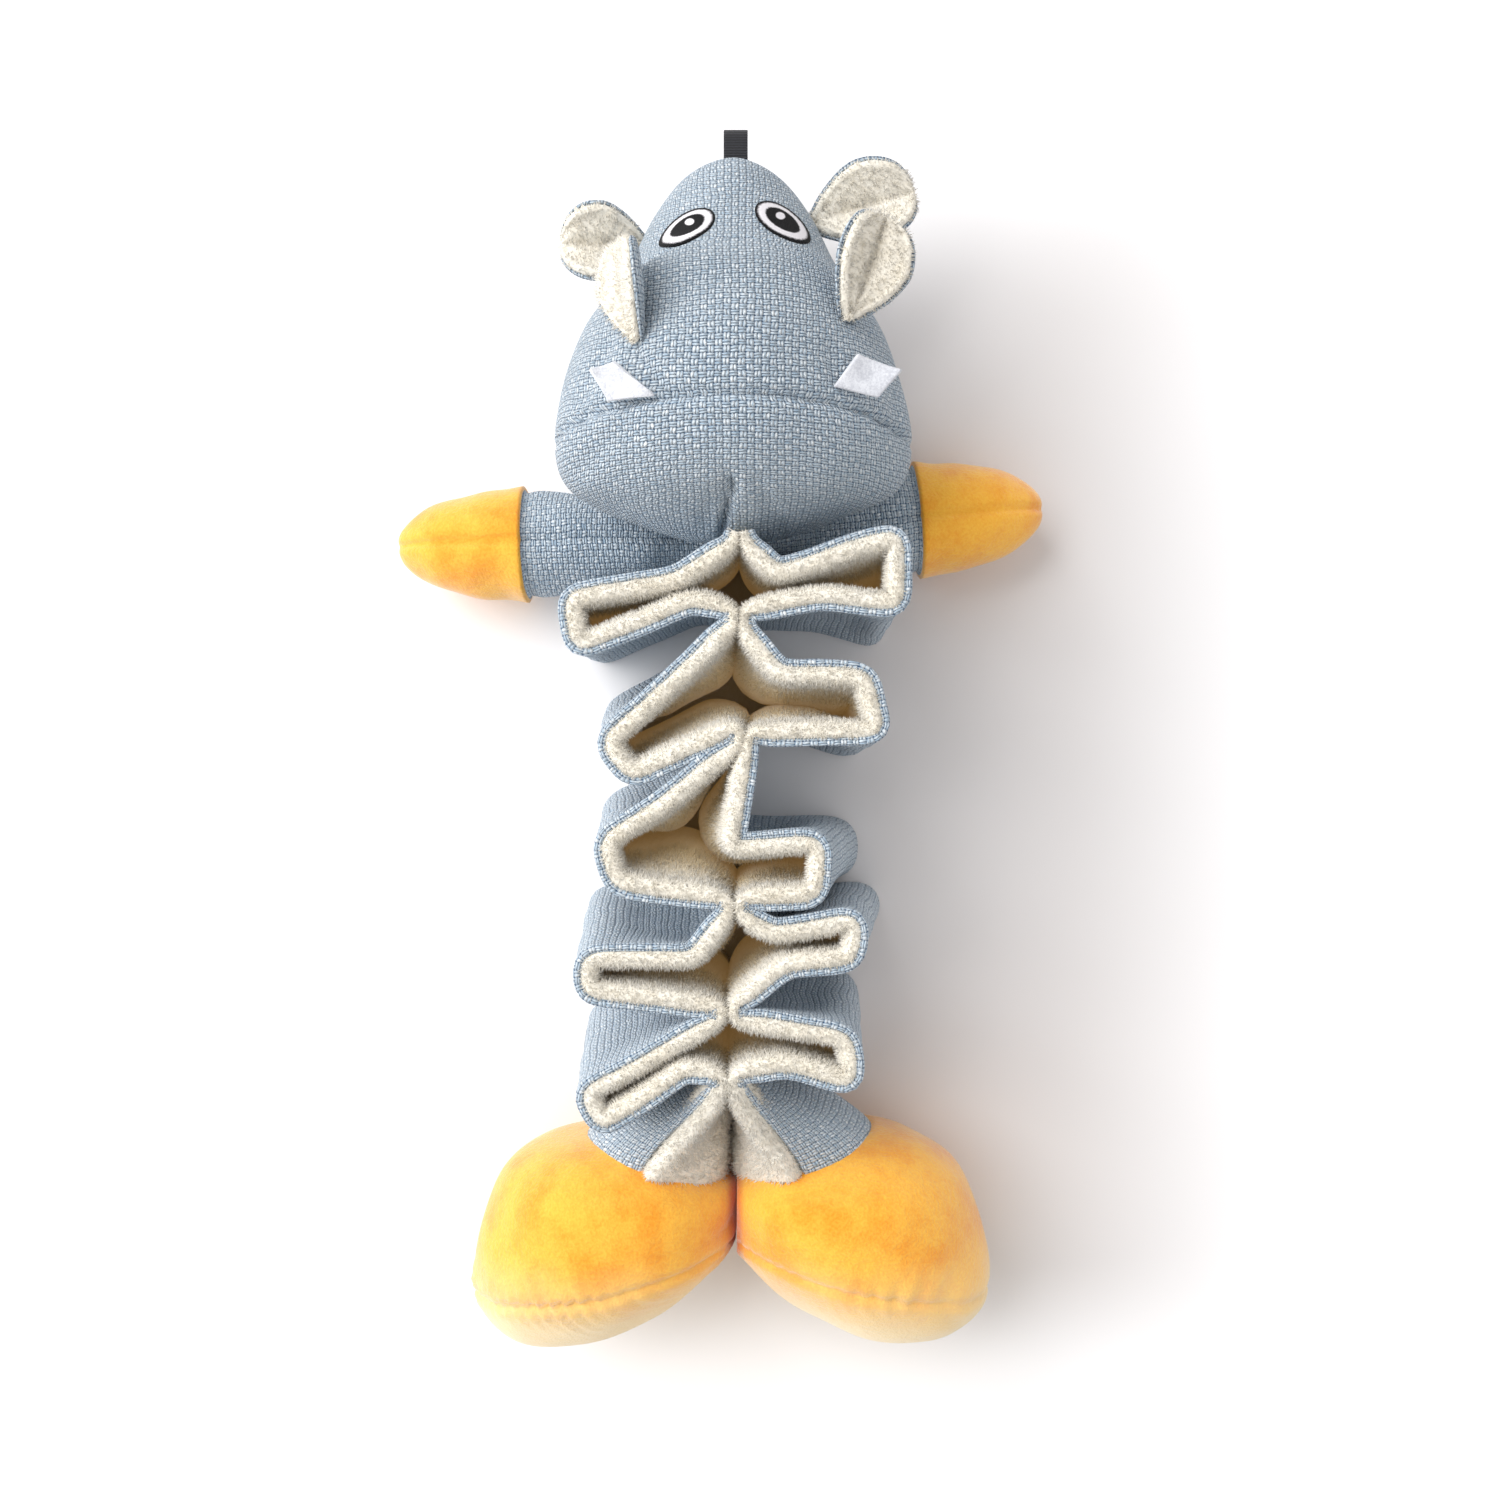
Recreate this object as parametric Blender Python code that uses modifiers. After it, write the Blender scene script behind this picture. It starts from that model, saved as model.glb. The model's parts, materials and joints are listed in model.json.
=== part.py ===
"""Plush dog toy: a hippo with a folding, treat-hiding body, lying on its back.

The body is two laminated strips that stand on edge. They are folded to and fro and
tacked together on the centre line, which leaves five open pockets. X runs across the
toy, Y from the feet to the crown and Z up from the floor. Lengths are in metres.
"""

import math

import bmesh
import bpy
from mathutils import Matrix, Vector
from mathutils.bvhtree import BVHTree

# Overall places, seen from above
NECK_Y = 0.0576
CENTRE_X = 0.0074
BODY_LENGTH = 0.1444
LOBE_REACH = 0.050
STRIP_WIDTH = 0.078

# Cloth
LINING_THICKNESS = 0.0044
WEAVE_THICKNESS = 0.0016
THREAD_DIAMETER = 0.0014
CLEARANCE = 0.0003
FOLD_RADIUS = 0.0050
TACK_SEAM_SHARE = 0.62

# Head
HEAD_LENGTH = 0.110
HEAD_WIDTH = 0.103
HEAD_HEIGHT = 0.105
HEAD_SHIFT_X = 0.0047
COVER_THICKNESS = 0.0020
FILL_GAP = 0.0016
FILL_SHARE = 0.915
SINK = 0.0012
MOUTH_Y = 0.0911
MOUTH_LEAN_SHARE = 0.16
SQUEAKER_RADIUS = 0.0135
SQUEAKER_THICKNESS = 0.0120
SPOUT_RADIUS = 0.0035
SPOUT_LENGTH = 0.0030
SQUEAKER_SHARE = 0.47

# Eyes: middle, length, width and tilt towards the brow's middle
EYE_LENGTH = 0.0165
EYE_WIDTH = 0.0140
EYE_THICKNESS = 0.0008
EYE_SPACING = 0.0258
EYE_SHARE = 0.745
EYE_STAGGER = 0.0030
EYE_TILT_DEGREES = 33.0

# Flaps on the snout and ears behind the head: cupped leaves of two layers
LEAF_WEAVE_THICKNESS = 0.0012
LEAF_LINING_THICKNESS = 0.0020
FLAP_LENGTH = 0.030
FLAP_WIDTH = 0.0155
FLAP_CUP_DEGREES = 75.0
FLAP_SPACING = 0.0560
FLAP_SHARE = 0.444
FLAP_STAGGER = 0.0050
FLAP_SHIFT_X = 0.0030
FLAP_HEADING_DEGREES = 14.0
FLAP_ROLL_DEGREES = 28.0
EAR_LENGTH = 0.030
EAR_WIDTH = 0.021
EAR_CUP_DEGREES = 60.0
EAR_SHARE = 0.82
EAR_STAGGER = 0.0070
EAR_HEIGHT_SHARE = 0.42
ROOT_SINK = 0.0020
LEFT_EAR_DEGREES = 97.0
RIGHT_EAR_DEGREES = 70.0
EAR_RISE_DEGREES = 8.0

TOOTH_LENGTH = 0.0185
TOOTH_WIDTH = 0.0098
FELT_THICKNESS = 0.0014
TOOTH_SPACING_SHARE = 0.427
TOOTH_SHIFT_X = 0.0026
TOOTH_STAGGER = 0.0024
TOOTH_RISE_DEGREES = 20.0
TOOTH_DROOP_DEGREES = 10.0

RIBBON_WIDTH = 0.0070
RIBBON_THICKNESS = 0.0006
RIBBON_LENGTH = 0.0105
RIBBON_BULGE = 0.0028

# Arms: the shoulder's place from the neck, and the way the arm points above straight out
LEFT_ARM_LENGTH = 0.0985
RIGHT_ARM_LENGTH = 0.0870
ARM_DEPTH = 0.035
ARM_HEIGHT = 0.0180
PAW_LENGTH = 0.0395
LEFT_ARM_ROOT = 0.0042
RIGHT_ARM_ROOT = 0.0058
LEFT_SHOULDER = (-0.0080, 0.0044)
RIGHT_SHOULDER = (0.0051, 0.0060)
LEFT_ARM_DEGREES = -1.5
RIGHT_ARM_DEGREES = 5.0

# Legs and feet: each ankle's place from the last tack
FOOT_LENGTH = 0.056
FOOT_WIDTH = 0.080
FOOT_HEIGHT = 0.070
FOOT_GAP = 0.0008
FOOT_SPLIT_X = 0.0022
LEFT_ANKLE = (-0.0211, -0.0320)
RIGHT_ANKLE = (0.0221, -0.0310)
ANKLE_TURN_DEGREES = 17.0
SOLE_TURN_DEGREES = -12.0
SOLE_SHARES = (0.19, 0.57)
LEG_RADIUS = 0.0219
LEG_TOP_DEGREES = 95.0
LEG_WEAVE_DEGREES = 205.0
LEG_LINING_DEGREES = 149.0
LEG_SEAM_DEGREES = 3.0

# How far cutting bodies reach past what they cut
OVERRUN = 0.080

# Tacks: place along the body and off the centre line, as shares of its length
TACK_Y_SHARES = (0.0, 0.152, 0.381, 0.690, 0.890, 1.015)
TACK_X_SHARES = (-0.010, -0.011, -0.002, -0.021, -0.032, -0.032)

# Each lobe of a strip, from its upper tack to its lower one: how far it first drops, its
# corners (across as a share of the reach, along as a share of the body's length from the
# neck), how far it drops last, how far its lower edge stands out past the upper one, and
# how far that edge leans towards the feet, on the lobe's near flap and on its far one.
LEFT_LOBE_SHARES = (
    (0.036, ((0.36, 0.086), (0.94, 0.118), (0.90, 0.208), (0.28, 0.118)), 0.034, 0.03, (0.055, 0.01)),
    (0.036, ((0.74, 0.388), (0.61, 0.447)), 0.063, 0.17, (-0.060, -0.060)),
    (0.036, ((0.75, 0.575), (0.69, 0.650)), 0.036, 0.15, (-0.035, -0.035)),
    (0.040, ((0.27, 0.790), (0.84, 0.790), (0.84, 0.852)), 0.036, 0.13, (-0.055, -0.055)),
    (0.034, ((0.32, 0.942), (0.86, 1.042), (0.77, 1.098), (0.32, 0.990)), 0.034, 0.13, (-0.030, -0.030)),
)
RIGHT_LOBE_SHARES = (
    (0.036, ((0.17, 0.073), (0.82, 0.000), (0.82, 0.128), (0.42, 0.112)), 0.034, 0.00, (0.135, 0.060)),
    (0.055, ((0.17, 0.256), (0.64, 0.262), (0.72, 0.362)), 0.040, -0.03, (0.100, 0.085)),
    (0.040, ((-0.09, 0.582), (0.39, 0.574), (0.38, 0.668)), 0.036, 0.70, (0.060, 0.060)),
    (0.034, ((0.15, 0.746), (0.58, 0.716), (0.57, 0.788), (0.22, 0.800)), 0.036, 0.38, (0.042, 0.025)),
    (0.034, ((0.55, 0.938), (0.57, 1.018), (0.24, 0.985)), 0.034, 0.17, (0.0, 0.0)),
)

# Head sections from the neck to the crown: place along the head as a share of its
# length, half width as a share of half the width, top and bottom as shares of the height
HEAD_SECTION_SHARES = (
    (0.012, 0.28, 0.62, 0.42),
    (0.063, 0.64, 0.76, 0.36),
    (0.129, 0.91, 0.88, 0.28),
    (0.234, 1.00, 0.965, 0.145),
    (0.367, 0.97, 1.00, 0.025),
    (0.498, 0.87, 0.99, 0.000),
    (0.610, 0.74, 0.94, 0.000),
    (0.685, 0.645, 0.830, 0.000),
    (0.750, 0.575, 0.775, 0.000),
    (0.854, 0.475, 0.705, 0.060),
    (0.945, 0.33, 0.62, 0.19),
    (0.992, 0.13, 0.53, 0.33),
)

# Foot sections from the ankle to the toes: place along as a share of the foot's length,
# shift to the outside as a share of its width, half width as a share of half the width,
# top and bottom as shares of the height
FOOT_SECTION_SHARES = (
    (0.000, 0.000, 0.55, 0.815, 0.185),
    (0.059, 0.079, 0.76, 0.90, 0.10),
    (0.175, 0.141, 0.90, 0.98, 0.02),
    (0.380, 0.181, 0.96, 1.00, 0.00),
    (0.586, 0.200, 0.97, 0.98, 0.00),
    (0.755, 0.229, 0.86, 0.88, 0.00),
    (0.925, 0.260, 0.60, 0.70, 0.14),
    (1.000, 0.285, 0.26, 0.55, 0.30),
)

# How far each foot section is turned to the outside
FOOT_TURN_DEGREES = (17.0, 10.0, 4.5, -3.0, -8.0, -10.0, -11.0, -11.0)

# Arm sections towards the paw's tip: place back from the tip as a share of the stuffed
# length, half depth as a share of half the depth
STUFFED_LENGTH = 0.084
ARM_SECTION_SHARES = (
    (1.000, 0.44),
    (0.880, 0.64),
    (0.600, 0.88),
    (0.300, 1.00),
    (0.130, 0.82),
    (0.030, 0.50),
    (0.000, 0.20),
)

# Leaf sections from root to tip: place along, half width as a share of half the width
LEAF_SECTION_SHARES = ((0.00, 0.42), (0.25, 0.82), (0.55, 1.00), (0.82, 0.78), (1.00, 0.34))

TOOTH_SHOULDER_SHARE = 0.75
TOOTH_TIP_SHARE = 0.05
TOOTH_ROOT_SHARE = 0.10
RIBBON_HEIGHT_SHARE = 0.43

# The ribbon's loop: along its length, and out from its middle as a share of half the bulge
RIBBON_SHARES = ((0.25, 0.80), (0.80, 1.00), (0.95, 0.70))

SQUEAKER_RIM_SHARE = 0.40

MERGE_DISTANCE = 0.0001
SQUEAKER_STEPS = 16
LEAF_COLUMNS = 7
LEG_COLUMNS = 7
LEG_ROWS = 6
LEG_CURL_SHARES = (0.12, 0.88)
RING_POINTS = 10
ARM_RING_POINTS = 8
SMOOTHING_SHARE = 0.25
CORNER_REACH_SHARE = 0.98

HIDDEN = "cutters"
OBJECT_NAME = "plush_dog_toy"

COLOURS = {
    "blue_weave": ((0.352, 0.485, 0.610), 0.85),
    "cream_plush": ((0.800, 0.720, 0.580), 0.95),
    "yellow_plush": ((0.940, 0.440, 0.035), 0.90),
    "fibre_fill": ((0.860, 0.860, 0.850), 0.95),
    "squeaker_plastic": ((0.780, 0.800, 0.820), 0.45),
    "black_thread": ((0.012, 0.012, 0.014), 0.60),
    "white_felt": ((0.800, 0.800, 0.840), 0.90),
    "black_ribbon": ((0.010, 0.010, 0.012), 0.70),
    "seam_thread": ((0.640, 0.580, 0.470), 0.80),
}


def clear_scene():
    for obj in list(bpy.data.objects):
        bpy.data.objects.remove(obj, do_unlink=True)


def make_collection(name, hidden=False):
    collection = bpy.data.collections.new(name)
    bpy.context.scene.collection.children.link(collection)
    collection.hide_render = hidden
    return collection


def material(name):
    """The named finish, made once."""
    found = bpy.data.materials.get(name)
    if found:
        return found
    colour, roughness = COLOURS[name]
    made = bpy.data.materials.new(name)
    made.use_nodes = True
    shader = made.node_tree.nodes["Principled BSDF"]
    shader.inputs["Base Color"].default_value = (*colour, 1.0)
    shader.inputs["Roughness"].default_value = roughness
    shader.inputs["Metallic"].default_value = 0.0
    made.diffuse_color = (*colour, 1.0)
    return made


def pivot(name, place, parent=None):
    """An empty on a joint's axis, which carries the pieces that move with it."""
    empty = bpy.data.objects.new(name, None)
    bpy.data.collections[OBJECT_NAME].objects.link(empty)
    empty.empty_display_size = FOLD_RADIUS
    empty["place"] = tuple(place)
    empty.location = place
    if parent:
        empty.parent = parent
        empty.location = Vector(place) - Vector(parent["place"])
    return empty


def piece(name, bm, finish, parent, smooth=True, facing_known=False):
    """A named object from a bmesh that is drawn in the toy's own frame."""
    mesh = bpy.data.meshes.new(name)
    if not facing_known:
        bmesh.ops.recalc_face_normals(bm, faces=bm.faces)
    bm.to_mesh(mesh)
    bm.free()
    obj = bpy.data.objects.new(name, mesh)
    bpy.data.collections[OBJECT_NAME].objects.link(obj)
    obj.parent = parent
    obj.location = -Vector(parent["place"])
    mesh.materials.append(material(finish))
    if smooth:
        mesh.shade_smooth()
    return obj


def cutter(name, bm):
    """A hidden body that only cuts others."""
    mesh = bpy.data.meshes.new(name)
    bmesh.ops.recalc_face_normals(bm, faces=bm.faces)
    bm.to_mesh(mesh)
    bm.free()
    obj = bpy.data.objects.new(name, mesh)
    bpy.data.collections[HIDDEN].objects.link(obj)
    obj.hide_render = True
    obj.display_type = "WIRE"
    return obj


def cut(obj, other, operation="DIFFERENCE"):
    boolean = obj.modifiers.new("cut " + other.name, "BOOLEAN")
    boolean.operation = operation
    boolean.object = other
    return boolean


def subdivide(obj, levels=1):
    subdivision = obj.modifiers.new("soft form", "SUBSURF")
    subdivision.levels = levels
    subdivision.render_levels = levels
    return subdivision


def solidify(obj, thickness, offset):
    wall = obj.modifiers.new("wall", "SOLIDIFY")
    wall.thickness = thickness
    wall.offset = offset
    wall.use_even_offset = True
    wall.use_quality_normals = True
    return wall


def box_body(low, high):
    bm = bmesh.new()
    bmesh.ops.create_cube(bm, size=1.0)
    for vertex in bm.verts:
        for axis in range(3):
            share = vertex.co[axis] + 0.5
            vertex.co[axis] = low[axis] + share * (high[axis] - low[axis])
    return bm


def loft(rings, close_start=False, close_end=False, closed_rings=True):
    """Joins rings of equal count, one after another, into a bmesh."""
    bm = bmesh.new()
    rows = [[bm.verts.new(point) for point in ring] for ring in rings]
    count = len(rows[0])
    for lower, upper in zip(rows, rows[1:]):
        for i in range(count if closed_rings else count - 1):
            j = (i + 1) % count
            bm.faces.new((lower[i], lower[j], upper[j], upper[i]))
    for close, row in ((close_start, rows[0]), (close_end, rows[-1])):
        if close:
            centre = bm.verts.new(sum((v.co for v in row), Vector()) / count)
            for i in range(count):
                bm.faces.new((row[i], row[(i + 1) % count], centre))
    return bm


def ring_around(centre, across, half_width, top, bottom, count=RING_POINTS):
    """A soft section: an ellipse, drawn a little large for the smoothing that follows."""
    middle = (top + bottom) / 2
    gain = 1.0 / (1 - SMOOTHING_SHARE + SMOOTHING_SHARE * math.cos(2 * math.pi / count))
    points = []
    for i in range(count):
        angle = 2 * math.pi * (i + 0.5) / count
        side = half_width * math.cos(angle) * gain
        rise = (top - bottom) / 2 * math.sin(angle) * gain
        points.append(Vector(centre) + across * side + Vector((0, 0, middle + rise)))
    return points


# Strips


def corner_turn(before, corner, after):
    """How far a path turns at a corner, and the directions back and on from it."""
    arriving = (before - corner).normalized()
    leaving = (after - corner).normalized()
    return math.pi - arriving.angle(leaving), arriving, leaving


def arc_steps(corners):
    """Arc pieces for each corner: more for a sharp one."""
    counts = []
    for before, corner, after in zip(corners, corners[1:], corners[2:]):
        turn = corner_turn(before, corner, after)[0]
        counts.append(3 if turn > math.radians(60) else 2)
    return counts


def rounded_path(corners, steps):
    """A path through its corners, each rounded by an arc with the same count of points."""
    path = [corners[0]]
    last = len(corners) - 1
    for i in range(1, last):
        before, corner, after = corners[i - 1 : i + 2]
        turn, arriving, leaving = corner_turn(before, corner, after)
        room_before = (before - corner).length / (1 if i == 1 else 2)
        room_after = (after - corner).length / (1 if i == last - 1 else 2)
        reach = min(FOLD_RADIUS * math.tan(turn / 2), room_before, room_after)
        reach *= CORNER_REACH_SHARE
        radius = reach / math.tan(turn / 2)
        middle = (arriving + leaving).normalized()
        centre = corner + middle * (radius / math.cos(turn / 2))
        start = corner + arriving * reach - centre
        side = 1 if arriving.cross(leaving) < 0 else -1
        first_step = 1 if i == 1 else 0
        last_step = steps[i - 1] - (1 if i == last - 1 else 0)
        for step in range(first_step, last_step + 1):
            angle = side * turn * step / steps[i - 1]
            swing = Matrix.Rotation(angle, 2) @ start
            path.append(centre + swing)
    path.append(corners[-1])
    return path


def offset_path(path, distance):
    """The path moved to its left. Both its ends run straight along the body."""
    moved = []
    along_body = Vector((0, -1))
    for i, point in enumerate(path):
        into = (point - path[i - 1]).normalized() if i else along_body
        out = (path[i + 1] - point).normalized() if i < len(path) - 1 else along_body
        along = (into + out).normalized() if 0 < i < len(path) - 1 else along_body
        normal = Vector((-along.y, along.x))
        spread = along.dot(into) if 0 < i < len(path) - 1 else 1.0
        moved.append(point + normal * distance / max(spread, 0.5))
    return moved


def tack_place(index):
    """Centre of a tack, seen from above."""
    x = CENTRE_X + TACK_X_SHARES[index] * BODY_LENGTH
    return Vector((x, NECK_Y - TACK_Y_SHARES[index] * BODY_LENGTH))


def strip_place(index, side):
    """Middle of a strip's lining where it passes a tack."""
    gap = THREAD_DIAMETER / 2 + CLEARANCE + LINING_THICKNESS / 2
    return tack_place(index) + Vector((side * gap, 0))


def lobe_corners(index, side, shares, lower_edge):
    """Corners of one lobe of the lining, from its upper tack to its lower one."""
    first_drop, places, last_drop, out_share, lean_shares = shares
    if not lower_edge:
        out_share = 0.0
        lean_shares = (0.0, 0.0)
    half_gap = Vector((0, CLEARANCE / 2))
    start = strip_place(index - 1, side) - half_gap
    end = strip_place(index, side) + half_gap
    corners = [start, start - Vector((0, first_drop * BODY_LENGTH))]
    for i, (across, along) in enumerate(places):
        far_flap = 2 * i >= len(places)
        leant = along + lean_shares[far_flap] * max(across, 0)
        x = CENTRE_X + side * across * (1 + out_share) * LOBE_REACH
        corners.append(Vector((x, NECK_Y - leant * BODY_LENGTH)))
    corners.append(end + Vector((0, last_drop * BODY_LENGTH)))
    corners.append(end)
    return corners


def strip_wall(name, upper_path, lower_path, inner, outer, finish, parent):
    """A standing wall of cloth between its near edge and its edge on the floor."""
    rings = []
    for height, path in ((0.0, lower_path), (STRIP_WIDTH, upper_path)):
        near = offset_path(path, inner)
        far = offset_path(path, outer)
        rings.append([Vector((*p, height)) for p in near + far[::-1]])
    bm = loft(rings)
    bm.verts.ensure_lookup_table()
    count = len(rings[0])
    for first in (0, count):
        row = [bm.verts[first + i] for i in range(count)]
        for i in range(count // 2 - 1):
            bm.faces.new((row[i], row[i + 1], row[count - 2 - i], row[count - 1 - i]))
    return piece(name, bm, finish, parent)


def make_lobe(index, side, name, table, parent):
    """One lobe of a strip, in its two layers."""
    shares = table[index - 1]
    upper_corners = lobe_corners(index, side, shares, False)
    lower_corners = lobe_corners(index, side, shares, True)
    steps = arc_steps(upper_corners)
    upper_path = rounded_path(upper_corners, steps)
    lower_path = rounded_path(lower_corners, steps)
    lining_face = LINING_THICKNESS / 2
    weave_face = lining_face + CLEARANCE
    strip_wall(
        f"{name}_fold_{index}_lining", upper_path, lower_path,
        -lining_face, lining_face, "cream_plush", parent,
    )
    strip_wall(
        f"{name}_fold_{index}_outer", upper_path, lower_path,
        side * weave_face, side * (weave_face + WEAVE_THICKNESS), "blue_weave", parent,
    )


def make_tack(index, parent):
    """The line of stitches that holds the two strips together."""
    bm = bmesh.new()
    height = STRIP_WIDTH * TACK_SEAM_SHARE
    radius = THREAD_DIAMETER / 2
    bmesh.ops.create_cone(
        bm, cap_ends=True, segments=8, radius1=radius, radius2=radius, depth=height
    )
    middle = Vector((*tack_place(index), STRIP_WIDTH / 2))
    bmesh.ops.translate(bm, verts=bm.verts, vec=middle)
    return piece(f"tack_seam_{index}", bm, "seam_thread", parent)


# Stuffed forms


def clearance_body(name, rings):
    """A stuffed form grown by the clearance, to cut what is sewn on to it."""
    obj = cutter(name, loft(rings, close_start=True, close_end=True))
    subdivide(obj)
    grow = obj.modifiers.new("clear of the cover", "DISPLACE")
    grow.mid_level = 0.0
    grow.strength = CLEARANCE
    return obj


def cover(name, rings, finish, parent, open_start=True):
    """A sewn cover of even thickness, open where the filling goes in."""
    bm = loft(rings, close_start=not open_start, close_end=True)
    obj = piece(name, bm, finish, parent)
    subdivide(obj)
    solidify(obj, COVER_THICKNESS, -1.0)
    return obj


def filling(name, rings, parent):
    """The fibre inside a cover, a small gap away from it."""
    inner = []
    for ring in rings:
        middle = sum(ring, Vector()) / len(ring)
        inner.append([middle.lerp(point, FILL_SHARE) for point in ring])
    bm = loft(inner, close_start=True, close_end=True)
    obj = piece(name, bm, "fibre_fill", parent)
    shrink = obj.modifiers.new("inside the cover", "DISPLACE")
    shrink.mid_level = 0.0
    shrink.strength = -(COVER_THICKNESS + FILL_GAP)
    return obj


def leaning_box(name, low, high, lean_share):
    """A cutting box whose sides lean along Y as they rise."""
    bm = box_body(low, high)
    for vertex in bm.verts:
        vertex.co.y += lean_share * vertex.co.z
    return cutter(name, bm)


def turned_box(name, low, high, place, degrees):
    """A cutting box turned about Z at a place."""
    bm = box_body(low, high)
    turn = Matrix.Rotation(math.radians(degrees), 4, "Z")
    bmesh.ops.transform(bm, matrix=Matrix.Translation(place) @ turn, verts=bm.verts)
    return cutter(name, bm)


def evaluated_tree(obj):
    """The finished surface of an object, to seat other pieces on."""
    bpy.context.view_layer.update()
    graph = bpy.context.evaluated_depsgraph_get()
    found = obj.evaluated_get(graph)
    mesh = found.to_mesh()
    points = [found.matrix_world @ vertex.co for vertex in mesh.vertices]
    faces = [tuple(face.vertices) for face in mesh.polygons]
    tree = BVHTree.FromPolygons(points, faces)
    found.to_mesh_clear()
    return tree


def height_on(tree, x, y):
    """Height of a surface under a place, seen from above."""
    hit = tree.ray_cast(Vector((x, y, HEAD_HEIGHT * 2)), Vector((0, 0, -1)))
    return hit[0].z


def side_of(tree, side, y, z):
    """How far out a surface reaches at a height, seen from one side."""
    hit = tree.ray_cast(Vector((side * HEAD_WIDTH, y, z)), Vector((-side, 0, 0)))
    return hit[0].x


# Head


def head_place(share):
    return NECK_Y + share * HEAD_LENGTH


def head_rings():
    """Sections from the neck to the crown of a head that lies on its back."""
    across = Vector((HEAD_WIDTH / 2, 0, 0))
    rings = []
    for share, half, top, bottom in HEAD_SECTION_SHARES:
        centre = Vector((HEAD_SHIFT_X, head_place(share), -SINK))
        rings.append(
            ring_around(centre, across, half, top * HEAD_HEIGHT, bottom * HEAD_HEIGHT)
        )
    return rings


def make_head(parent, floor):
    """Upper and jaw covers, sewn along the mouth, with their filling and squeaker."""
    rings = head_rings()
    upper = cover("head_upper_cover", rings, "blue_weave", parent)
    jaw = cover("head_jaw_cover", rings, "blue_weave", parent)
    reach = HEAD_LENGTH + OVERRUN
    seam = MOUTH_Y - MOUTH_LEAN_SHARE * HEAD_HEIGHT
    low = (-reach, seam - reach, -OVERRUN)
    high = (reach, seam + CLEARANCE / 2, HEAD_HEIGHT + OVERRUN)
    cut(upper, leaning_box("below_mouth_cutter", low, high, MOUTH_LEAN_SHARE))
    low = (-reach, seam - CLEARANCE / 2, -OVERRUN)
    high = (reach, seam + reach, HEAD_HEIGHT + OVERRUN)
    cut(jaw, leaning_box("above_mouth_cutter", low, high, MOUTH_LEAN_SHARE))
    cut(upper, floor)
    cut(jaw, floor)
    fill = filling("head_filling", rings, parent)
    cut(fill, make_squeaker(parent))
    return upper, clearance_body("head_clearance_cutter", rings)


def make_squeaker(parent):
    """A flat round squeaker with a spout, and the slot in the filling that takes it."""
    middle = Vector((HEAD_SHIFT_X, head_place(SQUEAKER_SHARE), HEAD_HEIGHT / 2))
    half = SQUEAKER_THICKNESS / 2
    rim = half * SQUEAKER_RIM_SHARE
    top = half + SPOUT_LENGTH
    profile = (
        (0, top), (SPOUT_RADIUS, top), (SPOUT_RADIUS, half),
        (SQUEAKER_RADIUS - rim, half), (SQUEAKER_RADIUS, half - rim),
        (SQUEAKER_RADIUS, rim - half), (SQUEAKER_RADIUS - rim, -half), (0, -half),
    )
    turned = bpy.data.objects.new("squeaker", bpy.data.meshes.new("squeaker"))
    points = [(x, 0, z) for x, z in profile]
    edges = [(i, i + 1) for i in range(len(points) - 1)]
    turned.data.from_pydata(points, edges, [])
    bpy.data.collections[OBJECT_NAME].objects.link(turned)
    turned.parent = parent
    turned.location = middle - Vector(parent["place"])
    turned.data.materials.append(material("squeaker_plastic"))
    screw = turned.modifiers.new("turned", "SCREW")
    screw.steps = SQUEAKER_STEPS
    screw.render_steps = SQUEAKER_STEPS
    screw.use_merge_vertices = True
    screw.merge_threshold = MERGE_DISTANCE
    wide = SQUEAKER_RADIUS + CLEARANCE
    tall = half + CLEARANCE
    outline = [
        (wide * math.cos(math.pi * i / 8), wide * math.sin(math.pi * i / 8))
        for i in range(9)
    ]
    outline += [(-wide, -HEAD_LENGTH), (wide, -HEAD_LENGTH)]
    rings = [
        [middle + Vector((x, y, z)) for x, y in outline]
        for z in (-tall, tall + SPOUT_LENGTH)
    ]
    bm = loft(rings)
    bm.verts.ensure_lookup_table()
    count = len(outline)
    bm.faces.new([bm.verts[i] for i in range(count)])
    bm.faces.new([bm.verts[count + i] for i in range(count)])
    return cutter("squeaker_slot_cutter", bm)


def make_eye(name, side, head, parent):
    """An oval of dense stitching that follows the forehead."""
    bm = bmesh.new()
    rows = 2
    count = 14
    centre = bm.verts.new((0, 0, 0))
    rings = []
    for row in range(1, rows + 1):
        ring = []
        for i in range(count):
            angle = 2 * math.pi * i / count
            x = EYE_LENGTH / 2 * math.cos(angle) * row / rows
            y = EYE_WIDTH / 2 * math.sin(angle) * row / rows
            ring.append(bm.verts.new((x, y, 0)))
        rings.append(ring)
    for i in range(count):
        j = (i + 1) % count
        bm.faces.new((centre, rings[0][i], rings[0][j]))
        bm.faces.new((rings[0][i], rings[1][i], rings[1][j], rings[0][j]))
    turn = Matrix.Rotation(math.radians(-side * EYE_TILT_DEGREES), 4, "Z")
    place = Vector(
        (
            HEAD_SHIFT_X + side * EYE_SPACING / 2,
            head_place(EYE_SHARE) + side * EYE_STAGGER / 2,
            HEAD_HEIGHT + OVERRUN,
        )
    )
    bmesh.ops.transform(bm, matrix=Matrix.Translation(place) @ turn, verts=bm.verts)
    obj = piece(name, bm, "black_thread", parent)
    lay = obj.modifiers.new("laid on the head", "SHRINKWRAP")
    lay.target = head
    lay.wrap_method = "PROJECT"
    lay.wrap_mode = "ABOVE_SURFACE"
    lay.use_project_z = True
    lay.use_negative_direction = True
    lay.use_positive_direction = False
    lay.offset = EYE_THICKNESS / 2 + CLEARANCE * 2
    solidify(obj, EYE_THICKNESS, 0.0)
    return obj


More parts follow.
